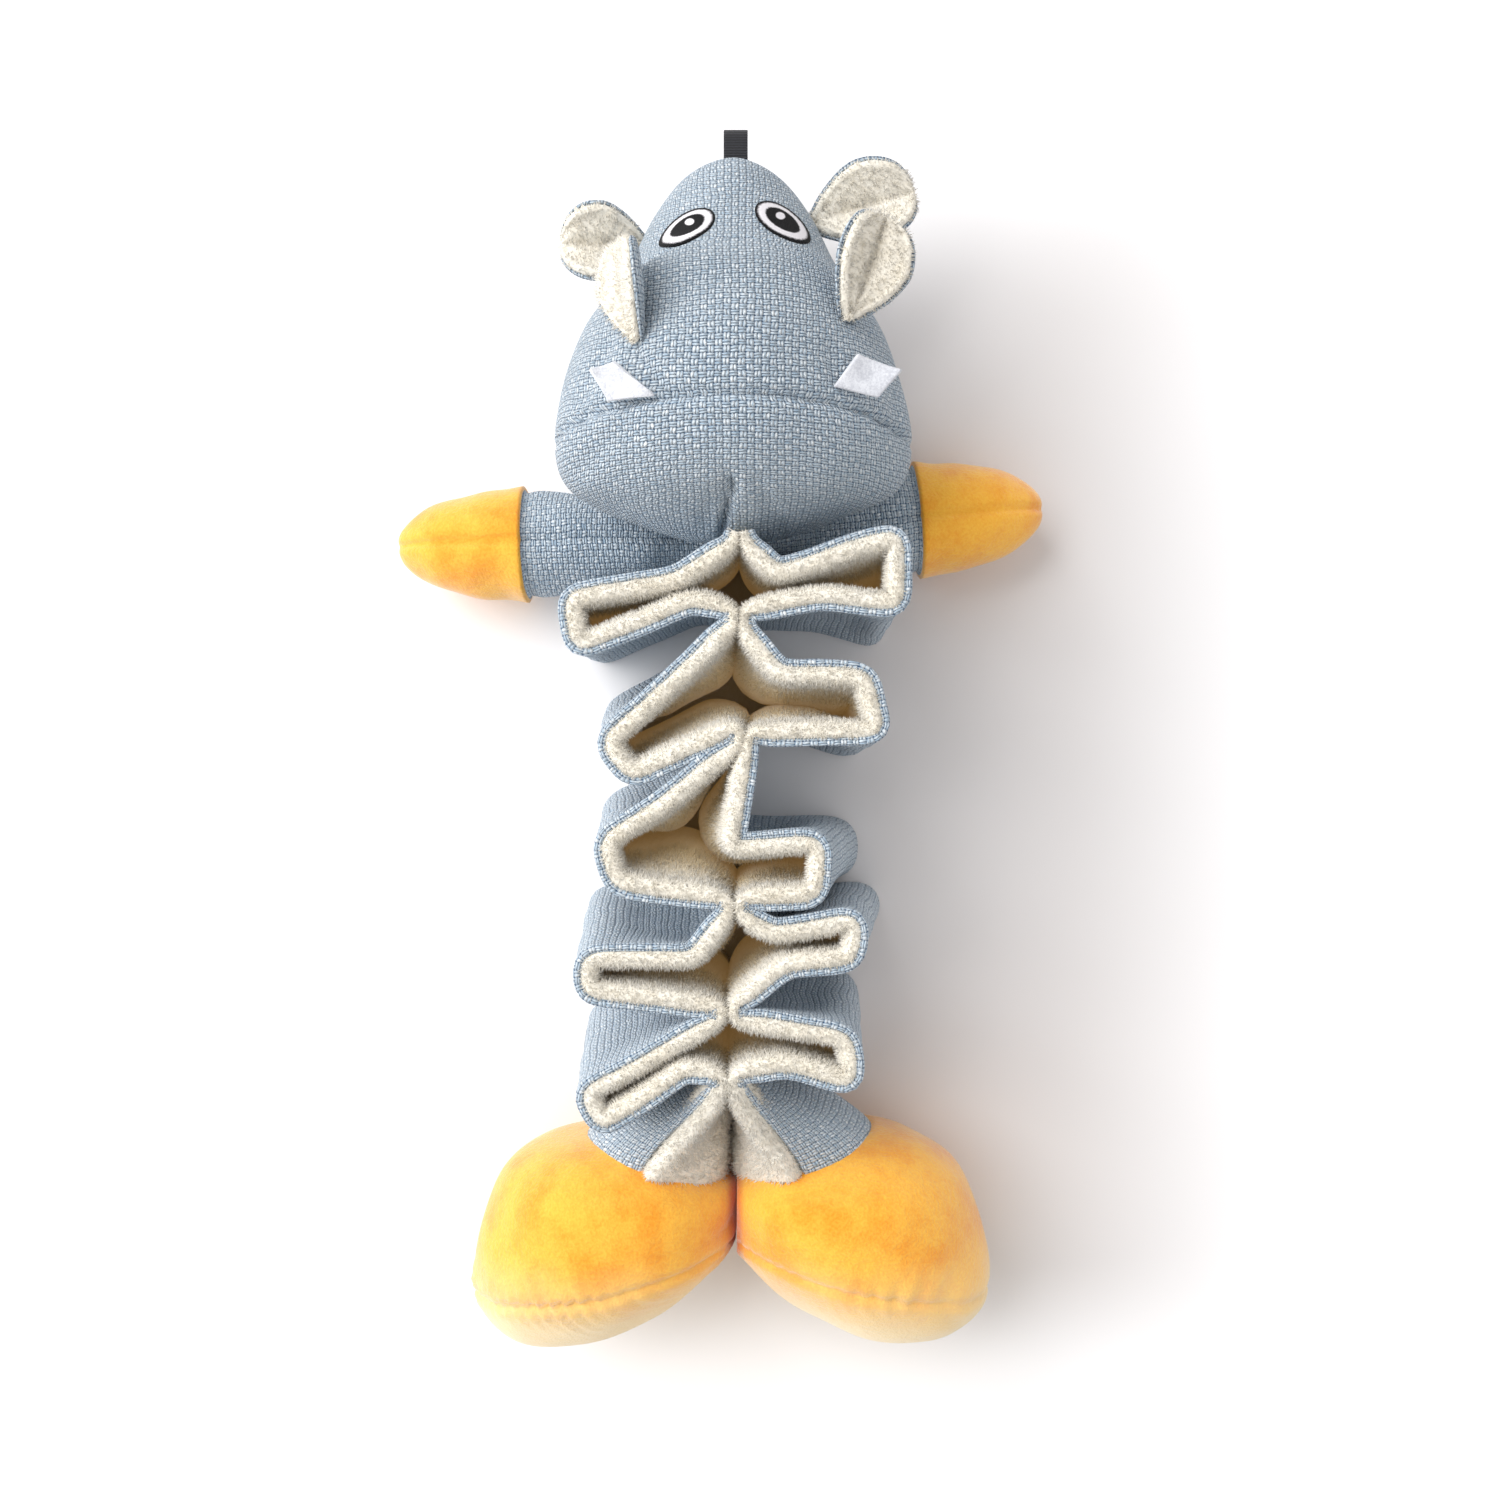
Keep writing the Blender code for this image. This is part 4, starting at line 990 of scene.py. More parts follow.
def leg_grid(side, ankle, top_degrees, wrap_degrees, radius, flat_shift):
    """An upright sheet at the last tack that becomes half a tube at the ankle."""
    along, across = outward_frame(side, ANKLE_TURN_DEGREES)
    start = TACKS[5].xy + Vector((side * (PINCH + flat_shift), OVERLAP))
    centre = Vector(ankle) + along * MM
    rows = []
    for row in range(LEG_ROWS + 1):
        share = row / LEG_ROWS
        curl = LEG_EASE * share * share * (3 - 2 * share) + (1 - LEG_EASE) * share
        points = []
        for k in range(LEVELS):
            level = k / (LEVELS - 1)
            angle = math.radians(top_degrees - wrap_degrees * (1 - level))
            flat = Vector((start.x, start.y, level * STRIP_WIDTH))
            swing = across * math.cos(angle) + Vector((0, 0, math.sin(angle)))
            rolled = centre + swing * radius
            point = flat.lerp(rolled, curl)
            point.y = start.y + share * (rolled.y - start.y)
            slack = math.sin(math.pi * share) * math.sin(math.pi * min(level * 1.15, 1.0))
            fold = math.sin(level * LEG_FOLDS * math.pi + side)
            fold += 0.8 * soft_noise(point, 0.011, 8.0)
            point += swing * slack * LEG_SLACK * fold
            points.append(point)
        rows.append(points)
    return np.array(rows)


for name, side in SIDES.items():
    top = LEG_TOP_DEGREES[name]
    for layer, cloth, slot, finish, thickness, start, wrap, shift, bulge, fuzz in (
        ("lining", "plush", "cream_plush", CREAM, LINING_THICKNESS,
         top + LINING_AHEAD_DEGREES, LEG_LINING_DEGREES, 0.0, 0.0019, 0.00045),
        ("outer", "weave", "blue_weave", STRIP_WEAVE, WEAVE_THICKNESS,
         top, LEG_WEAVE_DEGREES, PINCH + WEAVE_THICKNESS / 2, 0.0002, 0.0001),
    ):
        half = thickness / 2
        grid = leg_grid(side, ANKLES[name], start, wrap, LEG_RADIUS - half, shift)
        if layer == "lining":
            half = half * pressed(lengths(grid, 0)[:, -1])
        skin = cloth_skin(
            f"{name}_leg_{cloth}", grid, side, -half, half, finish,
            bulge=bulge, fuzz=fuzz, ends=join_ends(grid),
        )
        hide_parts(f"{name}_leg_{layer}")
        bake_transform(skin)
        if layer == "lining":
            pile = pile_on(skin, PILE_DENSITY * 0.8, near_rim(0.055), seed=60 + side)
            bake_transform(pile)
print("leg sheets end at:", [round(v / MM, 1) for v in ANKLES["left"]], "mm")

# %% [markdown]
# Stuffed forms are rings, one behind another, refined by a smooth curve through a few
# sections. Grooves for the seams are pushed in afterwards, and the form is flattened
# where it rests on the floor.

# %% Stuffed forms
FLOOR_GAP = 0.0002


def ring_form(sections, ring_count):
    """Rings from rows of (centre x, y, z, across x, across y, half width, half height)."""
    rings = []
    for x, y, z, ax, ay, half, rise in sections:
        ring = []
        for k in range(ring_count):
            angle = -math.pi / 2 + math.tau * k / ring_count
            side = half * math.cos(angle)
            ring.append((x + ax * side, y + ay * side, z + rise * math.sin(angle)))
        rings.append(ring)
    return np.array(rings)


def form_maps(points, start_row=0):
    """The cloth's map: distance round each ring from its top, and along from a row."""
    wrapped = np.concatenate([points, points[:, :1]], axis=1)
    around = lengths(wrapped, 1)
    top = points.shape[1] // 2
    around = around - around[:, top : top + 1]
    along = lengths(wrapped, 0)
    along = along - along[start_row : start_row + 1]
    return np.stack([around, along], axis=2)


def move_points(obj, change):
    """Moves each point by change(place, normal)."""
    mesh = obj.data
    mesh.update()
    normals = [v.normal.copy() for v in mesh.vertices]
    for vertex, normal in zip(mesh.vertices, normals):
        vertex.co += change(vertex.co.copy(), normal)
    mesh.update()


def rest_on_floor(obj):
    for vertex in obj.data.vertices:
        vertex.co.z = max(vertex.co.z, FLOOR_GAP)
    obj.data.update()


def clamped(share):
    return max(min(share, 1.0), 0.0)


def groove(distance, width, depth):
    """What is left of a depth at a distance from a line, as a bell curve."""
    return depth * math.exp(-((distance / width) ** 2))


def keep_side(obj, name, place, direction, finish=None):
    """A copy of the form that keeps what lies on one side of a seam's plane."""
    mesh = obj.data.copy()
    mesh.name = name
    if finish:
        mesh.materials[0] = finish
    bm = bmesh.new()
    bm.from_mesh(mesh)
    bmesh.ops.bisect_plane(
        bm, geom=bm.verts[:] + bm.edges[:] + bm.faces[:], dist=1e-6,
        plane_co=place, plane_no=direction, clear_inner=True,
    )
    bm.to_mesh(mesh)
    bm.free()
    part = bpy.data.objects.new(name, mesh)
    bpy.context.scene.collection.objects.link(part)
    return part


print("a 1 mm groove is", round(groove(0.5, 1.0, 1.0), 2), "mm deep half its width away")

# %% [markdown]
# The head lies on its back: chin at the neck, snout highest, then a step down to the
# forehead and the crown. The mouth seam leans a little, and the snout's cloth ends in a
# seam below the eyes. Rings through a few sections give a plain cushion. Then each point
# moves along its normal, which presses in the seams and the creases beside the mouth.

# %% Form of the head
HEAD_LENGTH = 0.110
HEAD_WIDTH = 0.1005
HEAD_HEIGHT = 0.105
SINK = 0.0012
MOUTH_Y = 0.0911
MOUTH_LEAN_SHARE = 0.16
BROW_SHARE = 0.684
BROW_ARCH = 0.0052
BROW_LIP = 0.0042
CHIN_SEAM_END_SHARE = 0.14

# Place along, half width, top and bottom, each as a share of the head's own size
HEAD_SECTION_SHARES = (
    (0.006, 0.12, 0.56, 0.46),
    (0.012, 0.28, 0.62, 0.42),
    (0.063, 0.64, 0.76, 0.36),
    (0.129, 0.91, 0.88, 0.28),
    (0.234, 1.00, 0.965, 0.145),
    (0.367, 0.97, 1.00, 0.025),
    (0.498, 0.87, 0.99, 0.000),
    (0.610, 0.74, 0.935, 0.000),
    (0.685, 0.650, 0.850, 0.000),
    (0.750, 0.580, 0.765, 0.000),
    (0.854, 0.480, 0.690, 0.060),
    (0.945, 0.33, 0.62, 0.19),
    (0.992, 0.13, 0.53, 0.33),
    (1.000, 0.03, 0.46, 0.40),
)


HEAD_MIDDLE_X = HEAD_X - 0.0008
HEAD_ROWS = 150
HEAD_COLUMNS = 144
# The row from which the weave's map counts, near the mouth
HEAD_MAP_ROW = 55


def head_place(share):
    return NECK_Y + share * HEAD_LENGTH


def head_sections():
    rows = []
    for share, half, top, bottom in smooth_rows(HEAD_SECTION_SHARES, HEAD_ROWS):
        z = (top + bottom) / 2 * HEAD_HEIGHT - SINK
        rise = (top - bottom) / 2 * HEAD_HEIGHT
        half_width = half * HEAD_WIDTH / 2
        rows.append((HEAD_MIDDLE_X, head_place(share), z, 1.0, 0.0, half_width, rise))
    return rows


print("head rows:", len(head_sections()))

# %% [markdown]
# What makes the cushion a face is what the cover does: a seam across the mouth, a short
# one under the chin, soft creases beside the mouth, and the snout's cloth standing over
# the forehead like a lip. Each is a bell curve across a line, and they simply add up.

# %% Seams and folds of the head
# Soft folds of the cover: two places (right of the middle, above the mouth), width, depth
HEAD_FOLDS = (
    ((-0.0262, 0.0135), (-0.0205, 0.0030), 0.0016, 0.0016),
    ((-0.0205, 0.0030), (-0.0120, -0.0012), 0.0014, 0.0012),
    ((-0.0330, 0.0150), (-0.0400, 0.0020), 0.0022, 0.0012),
    ((0.0250, 0.0130), (0.0265, 0.0040), 0.0018, 0.0012),
    ((0.0420, 0.0090), (0.0450, -0.0060), 0.0022, 0.0010),
    ((-0.0300, -0.0080), (-0.0420, -0.0160), 0.0028, 0.0010),
    ((-0.0080, -0.0290), (-0.0020, -0.0200), 0.0020, 0.0008),
    ((0.0120, -0.0300), (0.0060, -0.0210), 0.0020, 0.0008),
)


def fold_depth(place, start, end, width, depth):
    """A crease along a line seen from above, which fades at its ends."""
    start, end = Vector(start), Vector(end)
    offset = place - start
    way = end - start
    share = clamped(offset.dot(way) / way.length_squared)
    return -groove((offset - way * share).length, width, depth)


# Width and depth of each seam's groove
MOUTH_GROOVE = (0.0009, -0.0030)
CHIN_GROOVE = (0.0010, -0.0030)
BROW_GROOVE = (0.0010, -0.0016)
# The brow's lip swells slowly on the snout's side and falls off steeply on the other
BROW_HALF_WIDTH = 0.023
LIP_REACH = {"snout": 0.0090, "forehead": 0.0020}
BROW_SEAM_PAST = 0.0026


def head_change(place, normal):
    """Seams, folds, the snout's lip over the brow and a soft unevenness."""
    x = place.x - HEAD_X
    upper = clamped((place.z - 0.045) / 0.02)
    seam_y = MOUTH_Y + MOUTH_LEAN_SHARE * (place.z - HEAD_HEIGHT)
    move = groove(place.y - seam_y, *MOUTH_GROOVE)
    chin_end = head_place(CHIN_SEAM_END_SHARE)
    chin = clamped((chin_end - place.y) / 0.004)
    chin_x = 0.0005 + 0.30 * (place.y - chin_end)
    move += groove(x - chin_x, *CHIN_GROOVE) * chin * upper
    flat = Vector((x, place.y - MOUTH_Y))
    for fold in HEAD_FOLDS:
        move += fold_depth(flat, *fold) * upper
    move += 0.0008 * soft_noise(place, 0.020, 2.0)
    past = place.y - (head_place(BROW_SHARE) - BROW_ARCH * (x / BROW_HALF_WIDTH) ** 2)
    lip = groove(past, LIP_REACH["snout" if past < 0 else "forehead"], BROW_LIP)
    move += groove(past - BROW_SEAM_PAST, *BROW_GROOVE) * upper
    return normal * move + Vector((0, 0, 1.0)) * lip * upper


rings = ring_form(head_sections(), HEAD_COLUMNS)
head = closed_form("head_form", rings, WEAVE, form_maps(rings, HEAD_MAP_ROW))
move_points(head, head_change)
rest_on_floor(head)
head_tree = BVHTree.FromPolygons(
    [v.co.copy() for v in head.data.vertices], [tuple(p.vertices) for p in head.data.polygons]
)
seam_place = Vector((HEAD_X, MOUTH_Y, HEAD_HEIGHT))
seam_way = Vector((0, 1, -MOUTH_LEAN_SHARE)).normalized()
snout = keep_side(head, "head_upper", seam_place, seam_way)
jaw = keep_side(head, "head_jaw", seam_place, -seam_way)
bpy.data.objects.remove(head)
for obj, node in ((snout, "head_upper_cover"), (jaw, "head_jaw_cover")):
    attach(obj, "head")
    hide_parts(node)
print("head points:", len(snout.data.vertices) + len(jaw.data.vertices))


def on_head(x, y):
    """The head's surface under a place seen from above, and its normal."""
    hit = head_tree.ray_cast(Vector((x, y, 1.0)), Vector((0, 0, -1)))
    return hit[0], hit[1]


# %% [markdown]
# The eyes are dense satin stitching: a dark outline, a white band, a dark oval and a
# small white glint. The rings of one flat fan take their colours from how far out they
# lie, and the fan is laid on the forehead.

# %% Eyes
EYE_LENGTH = 0.0174
EYE_WIDTH = 0.0108
EYE_SPACING = 0.0261
EYE_SHARE = 0.765
EYE_STAGGER = 0.0027
EYE_TILT_DEGREES = 36.0


def make_eye_finish():
    finish = Finish("embroidery", roughness=0.75, Specular_IOR_Level=0.2)
    along, across = finish.cloth()

    def inside(x, y, half_long, half_wide, edge=0.06):
        a = (along - x) / half_long
        b = (across - y) / half_wide
        reach = (a * a + b * b).math("SQRT")
        wobble = (finish.noise(1800.0, 1.0) - 0.5) * 0.10
        return 1.0 - (reach + wobble).ramp(1.0 - edge, 1.0 + edge)

    band = inside(0.0002, -0.0004, EYE_LENGTH * 0.430, EYE_WIDTH * 0.405)
    pupil = inside(0.0004, -0.0003, EYE_LENGTH * 0.300, EYE_WIDTH * 0.290)
    glint = inside(0.0017, 0.0004, 0.0012, 0.0013, 0.15)
    stitches = ((across + along * 0.35) / 0.00042 * math.tau).math("SINE") * 0.5 + 0.5
    dark = finish.mix(stitches, srgb("050507"), srgb("17171A"))
    light = finish.mix(stitches, srgb("EFEAF0"), srgb("FFFDFF"))
    first = finish.mix(band, dark, light)
    second = finish.mix(pupil, first, dark)
    finish.colour(finish.mix(glint, second, light))
    finish.bump(stitches, 0.00025, 0.8)
    return finish.material


EMBROIDERY = make_eye_finish()


# How far the stitching stands off the cloth at the rim, and how much more in the middle
EYE_LIFT = 0.0001
EYE_DOME = 0.0009


def make_eye(name, side):
    rows, count = 16, 48
    turn = Matrix.Rotation(math.radians(-side * EYE_TILT_DEGREES), 2)
    along = head_place(EYE_SHARE) + side * EYE_STAGGER / 2
    centre = Vector((HEAD_X + side * EYE_SPACING / 2, along))
    points, maps_at = [], []
    for row in range(rows + 1):
        share = row / rows
        for k in range(count):
            angle = math.tau * k / count
            flat = Vector((EYE_LENGTH / 2 * math.cos(angle), EYE_WIDTH / 2 * math.sin(angle)))
            flat *= share * 0.999 + 0.001
            point, normal = on_head(*(centre + turn @ flat))
            points.append(point + normal * (EYE_DOME * math.sqrt(1 - share**4) + EYE_LIFT))
            maps_at.append((-side * flat.x, flat.y))
    faces, maps = [], []
    for row in range(rows):
        for k in range(count):
            n = (k + 1) % count
            face = (row * count + k, row * count + n, (row + 1) * count + n, (row + 1) * count + k)
            faces.append(face)
            maps.append(tuple(maps_at[i] for i in face))
    mesh = mesh_from(f"{name}_embroidery", points, faces, maps)
    obj = make_object(f"{name}_embroidery", EMBROIDERY, mesh)
    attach(obj, "head")
    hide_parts(name)


for name, side in SIDES.items():
    make_eye(f"{name}_eye", side)
print("eyes:", EYE_LENGTH / MM, "by", EYE_WIDTH / MM, "mm")

# %% [markdown]
# Flaps and ears are leaves of two layers, cupped along their length: the plush lies in
# the cup, fuller on each half than at the crease between them. Each layer is a skin like
# a strip's wall, so both have soft rims. A leaf's rows run across it, and the rims close
# in at the root and the tip.

# %% Leaves
LEAF_WEAVE = 0.0012
LEAF_LINING = 0.0026
LEAF_ROWS = 34
LEAF_WIDEST = 0.56


def leaf_half(share):
    """Half width of a leaf with a pointed root and a round tip."""
    root = min(share / LEAF_WIDEST, 1.0)
    tip = max(share - LEAF_WIDEST, 0.0) / (1 - LEAF_WIDEST)
    return max((1 - (1 - root) ** 1.7) * math.sqrt(max(1 - tip**2.3, 0.0)), 0.07)


def leaf_grid(length, width, cup_degrees):
    cup = math.radians(cup_degrees)
    rows = []
    for step in range(LEAF_ROWS + 1):
        share = 0.5 - 0.5 * math.cos(math.pi * step / LEAF_ROWS)
        radius = leaf_half(share) * width / 2 / math.sin(cup)
        row = []
        for k in range(LEVELS):
            angle = cup * (2 * k / (LEVELS - 1) - 1)
            row.append((radius * math.sin(angle), share * length, radius * (1 - math.cos(angle))))
        rows.append(row)
    return np.array(rows)


def plump_halves(depth):
    """Extra plush on both halves of a folded leaf, with a crease between them."""
    across = np.abs(np.linspace(-1, 1, LEVELS))
    steps = np.arange(LEAF_ROWS + 1) / LEAF_ROWS
    along = np.array([leaf_half(0.5 - 0.5 * math.cos(math.pi * s)) for s in steps])
    return depth * np.outer(along, np.sin(math.pi * across) ** 0.7)


def placed(grid, matrix):
    flat = [matrix @ Vector(p) for p in grid.reshape(-1, 3)]
    return np.array(flat).reshape(grid.shape)


def leaf_placing(place, heading_degrees, rise_degrees, roll_degrees):
    heading = Matrix.Rotation(math.radians(heading_degrees), 4, "Z")
    rise = Matrix.Rotation(math.radians(rise_degrees), 4, "X")
    roll = Matrix.Rotation(math.radians(roll_degrees), 4, "Y")
    return Matrix.Translation(place) @ heading @ rise @ roll


def make_leaf(name, length, width, cup_degrees, placing, plump):
    """The weave is on the convex side and the plush lies in the cup."""
    grid = placed(leaf_grid(length, width, cup_degrees), placing)
    ends = rounded_ends(grid, LEAF_LINING)
    angles = np.radians(cup_degrees) * np.linspace(-1, 1, LEVELS)
    radial = np.stack([np.sin(angles), np.zeros(LEVELS), -np.cos(angles)], axis=1)
    out = np.broadcast_to(radial @ np.array(placing.to_3x3()).T, grid.shape)
    face = LEAF_LINING / 2
    lining = cloth_skin(
        f"{name}_plush", grid, -1, -face, face, CREAM, fuzz=0.0003, ends=ends,
        plump=plump_halves(plump), out=out,
    )
    weave = cloth_skin(
        f"{name}_weave", grid, -1, face, face + LEAF_WEAVE, WEAVE, fuzz=0.0001, ends=ends,
        out=out,
    )
    pile = pile_on(lining, PILE_DENSITY * 0.6, open_side, seed=len(name) + ord(name[0]))
    size = (width * math.radians(cup_degrees), length)
    for obj, layer, slot in ((lining, "lining", "cream_plush"), (weave, "outer", "blue_weave")):
        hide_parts(f"{name}_{layer}")
        size[0] * size[1] * 0.75
    return lining, weave, pile


print("leaf rows:", LEAF_ROWS + 1)

# %% [markdown]
# The two small flaps are sewn to the snout and lie folded, so each turns its cup its own way. The
# two ears hang at the sides of the head.

# %% Flaps and ears
# Half the angle that the cup turns through, and how much fuller its halves are
FLAP_CUP, FLAP_PLUMP = 66.0, 0.0020
EAR_CUP, EAR_PLUMP = 70.0, 0.0018
EAR_RISE_DEGREES = 8.0
# Place right of the head's middle and above the mouth, length, width, heading and roll
FLAPS = {
    "left": (-0.0254, 0.0137, 0.0268, 0.0156, 6.0, -56.0),
    "right": (0.0292, 0.0206, 0.0290, 0.0182, -19.0, 24.0),
}
for name, (x, y, length, width, heading, roll) in FLAPS.items():
    root, normal = on_head(HEAD_X + x, MOUTH_Y + y)
    placing = leaf_placing(root + Vector((0, 0, 0.0018)), heading, 0.0, roll)
    for obj in make_leaf(f"{name}_flap", length, width, FLAP_CUP, placing, FLAP_PLUMP):
        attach(obj, "head")

# Length, width and heading
EARS = {"left": (0.0262, 0.0190, 90.0), "right": (0.0318, 0.0205, -76.0)}
for name, (length, width, heading) in EARS.items():
    hinge = joint_place(f"{name}_ear_flop")
    placing = leaf_placing(hinge, heading, EAR_RISE_DEGREES, 0.0)
    for obj in make_leaf(f"{name}_ear", length, width, EAR_CUP, placing, EAR_PLUMP):
        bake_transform(obj)
print("leaves:", len(FLAPS) + len(EARS))

# %% [markdown]
# The teeth are felt diamonds whose roots lie in the mouth seam. Felt is stiff, so a tooth
# doesn't follow the cheek but stands off it. Each is a small grid that is made thick and
# soft-edged by two modifiers, which is enough for a flat piece.

# %% Teeth
FELT_THICKNESS = 0.0014
FELT_ROUNDING = 0.0004
# The felt clears the cheek, falls away from its root and curls up at its sides
TOOTH_CLEAR = 0.0010
TOOTH_DROOP = 0.22
TOOTH_CURL = 0.0016
# Corners from the inner tip round, right of the head's middle and above the mouth, in mm
TEETH = {
    "left": ((-20.2, 0.0), (-30.9, 9.0), (-37.2, 7.2), (-32.4, -1.0)),
    "right": ((25.3, 2.6), (31.6, 11.2), (43.2, 7.4), (37.0, 0.2)),
}


def make_tooth(name, corners):
    """Stiff felt: it leaves the seam and stands off the round cheek, a little curled."""
    corners = [Vector((HEAD_X + x * MM, MOUTH_Y + y * MM)) for x, y in corners]
    rows, columns = 14, 10
    root = on_head(*corners[0])[0]
    points, faces, maps = [], [], []
    for i in range(rows + 1):
        for k in range(columns + 1):
            a = corners[0].lerp(corners[1], i / rows)
            b = corners[3].lerp(corners[2], i / rows)
            flat = a.lerp(b, k / columns)
            cheek = on_head(*flat)[0].z + TOOTH_CLEAR
            run = (flat - corners[0]).length
            curl = TOOTH_CURL * (k / columns - 0.5) ** 2 * 4 * i / rows
            stiff = root.z + TOOTH_CLEAR - TOOTH_DROOP * run + curl
            points.append((flat.x, flat.y, max(cheek, stiff)))
    for i in range(rows):
        for k in range(columns):
            at = i * (columns + 1) + k
            face = (at, at + columns + 1, at + columns + 2, at + 1)
            faces.append(face)
            maps.append([points[j][:2] for j in face])
    obj = make_object(f"{name}_felt", FELT, mesh_from(f"{name}_felt", points, faces, maps))
    wall = obj.modifiers.new("felt", "SOLIDIFY")
    wall.thickness = FELT_THICKNESS
    wall.offset = 0.0
    round_it = obj.modifiers.new("soft edge", "BEVEL")
    round_it.width = FELT_ROUNDING
    round_it.segments = 2
    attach(obj, "head")
    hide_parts(name)


for name, corners in TEETH.items():
    make_tooth(f"{name}_tooth", corners)

print("teeth:", len(TEETH))

# %% [markdown]
# The ribbon is one strip that is folded to a loop and pinched where it enters the crown's
# seam. Its path goes out and back, and the same skin as the strips' gives it a thickness.

# %% Ribbon loop
RIBBON_WIDTH = 0.0070
RIBBON_LENGTH = 0.0105
RIBBON_BULGE = 0.0028
RIBBON_THICKNESS = 0.0006
# The loop's side as shares of its length and bulge, from the crown to the tip
RIBBON_SHARES = ((0, 0.12), (0.25, 0.80), (0.60, 1.0), (0.85, 0.9), (1.0, 0.0))


def make_ribbon():
    crown = joint_place("ribbon_flop")
    half = smooth_rows(RIBBON_SHARES, 24)
    path = [(y * RIBBON_LENGTH, z * RIBBON_BULGE / 2) for y, z in half]
    path += [(y, -z) for y, z in path[-2::-1]]
    rows = []
    for y, z in path:
        row = []
        for k in range(9):
            x = (k / 8 - 0.5) * RIBBON_WIDTH
            row.append((crown.x + x, crown.y + y, crown.z + z))
        rows.append(row)
    grid = np.array(rows)
    face = RIBBON_THICKNESS / 2
    obj = cloth_skin("ribbon_loop_woven", grid, 1, -face, face, RIBBON)
    length = float(lengths(grid, 0)[-1].mean())
    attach(obj, "ribbon")
    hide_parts("ribbon_loop")
    return length


print("ribbon length:", round(make_ribbon() / MM, 1), "mm")

# %% [markdown]
# An arm is one stuffed form that is cut at the cuff: a blue sleeve and a yellow paw. A
# seam runs along its top, the sleeve is drawn in at the cuff, and the paw's edge stands a
# little proud of it. Towards the shoulder there is less filling, so the sleeve folds.

# %% Arms
ARM_DEPTH = 0.035
ARM_RADIUS_Z = 0.0180
STUFFED_LENGTH = 0.084
PAW_LENGTH = 0.0395
# Length, half width at the shoulder, and degrees towards the head
ARM_FACTS = {"left": (0.0985, 0.0042, -1.5), "right": (0.0870, 0.0058, 5.0)}
ARM_SEAM_GROOVE = (0.0012, -0.0016)
PAW_PROUD = (0.004, 0.0012)
SLEEVE_DRAWN_IN = (0.003, 0.0010)
SLEEVE_FOLD = 0.0009
# Distance back from the arm's tip and half width
ARM_SECTION_SHARES = (
    (1.000, 0.44),
    (0.880, 0.66),
    (0.600, 0.90),
    (0.440, 0.97),
    (0.300, 0.93),
    (0.166, 0.78),
    (0.076, 0.56),
    (0.020, 0.33),
    (0.000, 0.14),
)


def make_arm(name, side):
    length, root, degrees = ARM_FACTS[name]
    shoulder = joint_place(f"{name}_arm_swing")
    turn = math.radians(degrees)
    along = Vector((side * math.cos(turn), math.sin(turn), 0))
    across = Vector((-along.y, along.x, 0))
    sections = [(0.0, root)]
    for back, half in ARM_SECTION_SHARES:
        sections.append((length - back * STUFFED_LENGTH, half * ARM_DEPTH / 2))
    sections.append((length, 0.0006))
    rows = []
    for distance, half in smooth_rows(sections, 150):
        centre = shoulder + along * distance
        rows.append((centre.x, centre.y, ARM_RADIUS_Z, across.x, across.y, half, half))
    rings = ring_form(rows, 72)
    form = closed_form(f"{name}_arm_form", rings, STRIP_WEAVE, form_maps(rings))
    cuff = length - PAW_LENGTH

    def change(place, normal):
        """The seam on top, the paw's proud cuff, and folds towards the shoulder."""
        offset = place - shoulder
        distance, out = offset.dot(along), offset.dot(across)
        on_top = clamped((place.z - ARM_RADIUS_Z) / 0.006)
        move = groove(out, *ARM_SEAM_GROOVE) * on_top
        past = distance - cuff
        if past > 0.0002:
            move += groove(past, *PAW_PROUD)
        else:
            move -= groove(past, *SLEEVE_DRAWN_IN)
            fold = math.sin(out / 0.0042 + 2.0 * soft_noise(place, 0.016, 6.0))
            move += SLEEVE_FOLD * fold * max(1 - distance / (0.6 * cuff), 0.0)
        move += 0.0008 * soft_noise(place, 0.012, 4.0)
        return normal * move

    move_points(form, change)
    rest_on_floor(form)
    cut_place = shoulder + along * cuff
    sleeve = keep_side(form, f"{name}_arm_sleeve", cut_place, -along)
    paw = keep_side(form, f"{name}_arm_paw", cut_place, along, YELLOW)
    bpy.data.objects.remove(form)
    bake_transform(sleeve)
    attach(paw, f"{name}_arm")
    for obj, node, slot in (
        (sleeve, f"{name}_sleeve", "blue_weave"),
        (paw, f"{name}_paw", "yellow_plush"),
    ):
        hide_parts(node)


for name, side in SIDES.items():
    make_arm(name, side)
print("arm lengths:", [round(facts[0] / MM, 1) for facts in ARM_FACTS.values()], "mm")

# %% [markdown]
# A foot is a fat cushion that leans out from its opening. Its sole is sewn in near the
# toes, and the seam gathers the pile into short puckers. The two feet press on each
# other, so each is flat along the middle.

# %% Feet
FOOT_LENGTH = 0.056
FOOT_WIDTH = 0.080
FOOT_HEIGHT = 0.070
FOOT_SPLIT_X = TACKS[5].x + 0.0022
SOLE_SHARES = (0.19, 0.57)
SOLE_TURN_DEGREES = -12.0
SOLE_GROOVE = (0.0012, -0.0012)
# Spacing of the puckers, their reach from the seam, and their depth
PUCKERS = (0.0052, 0.008, 0.0017)
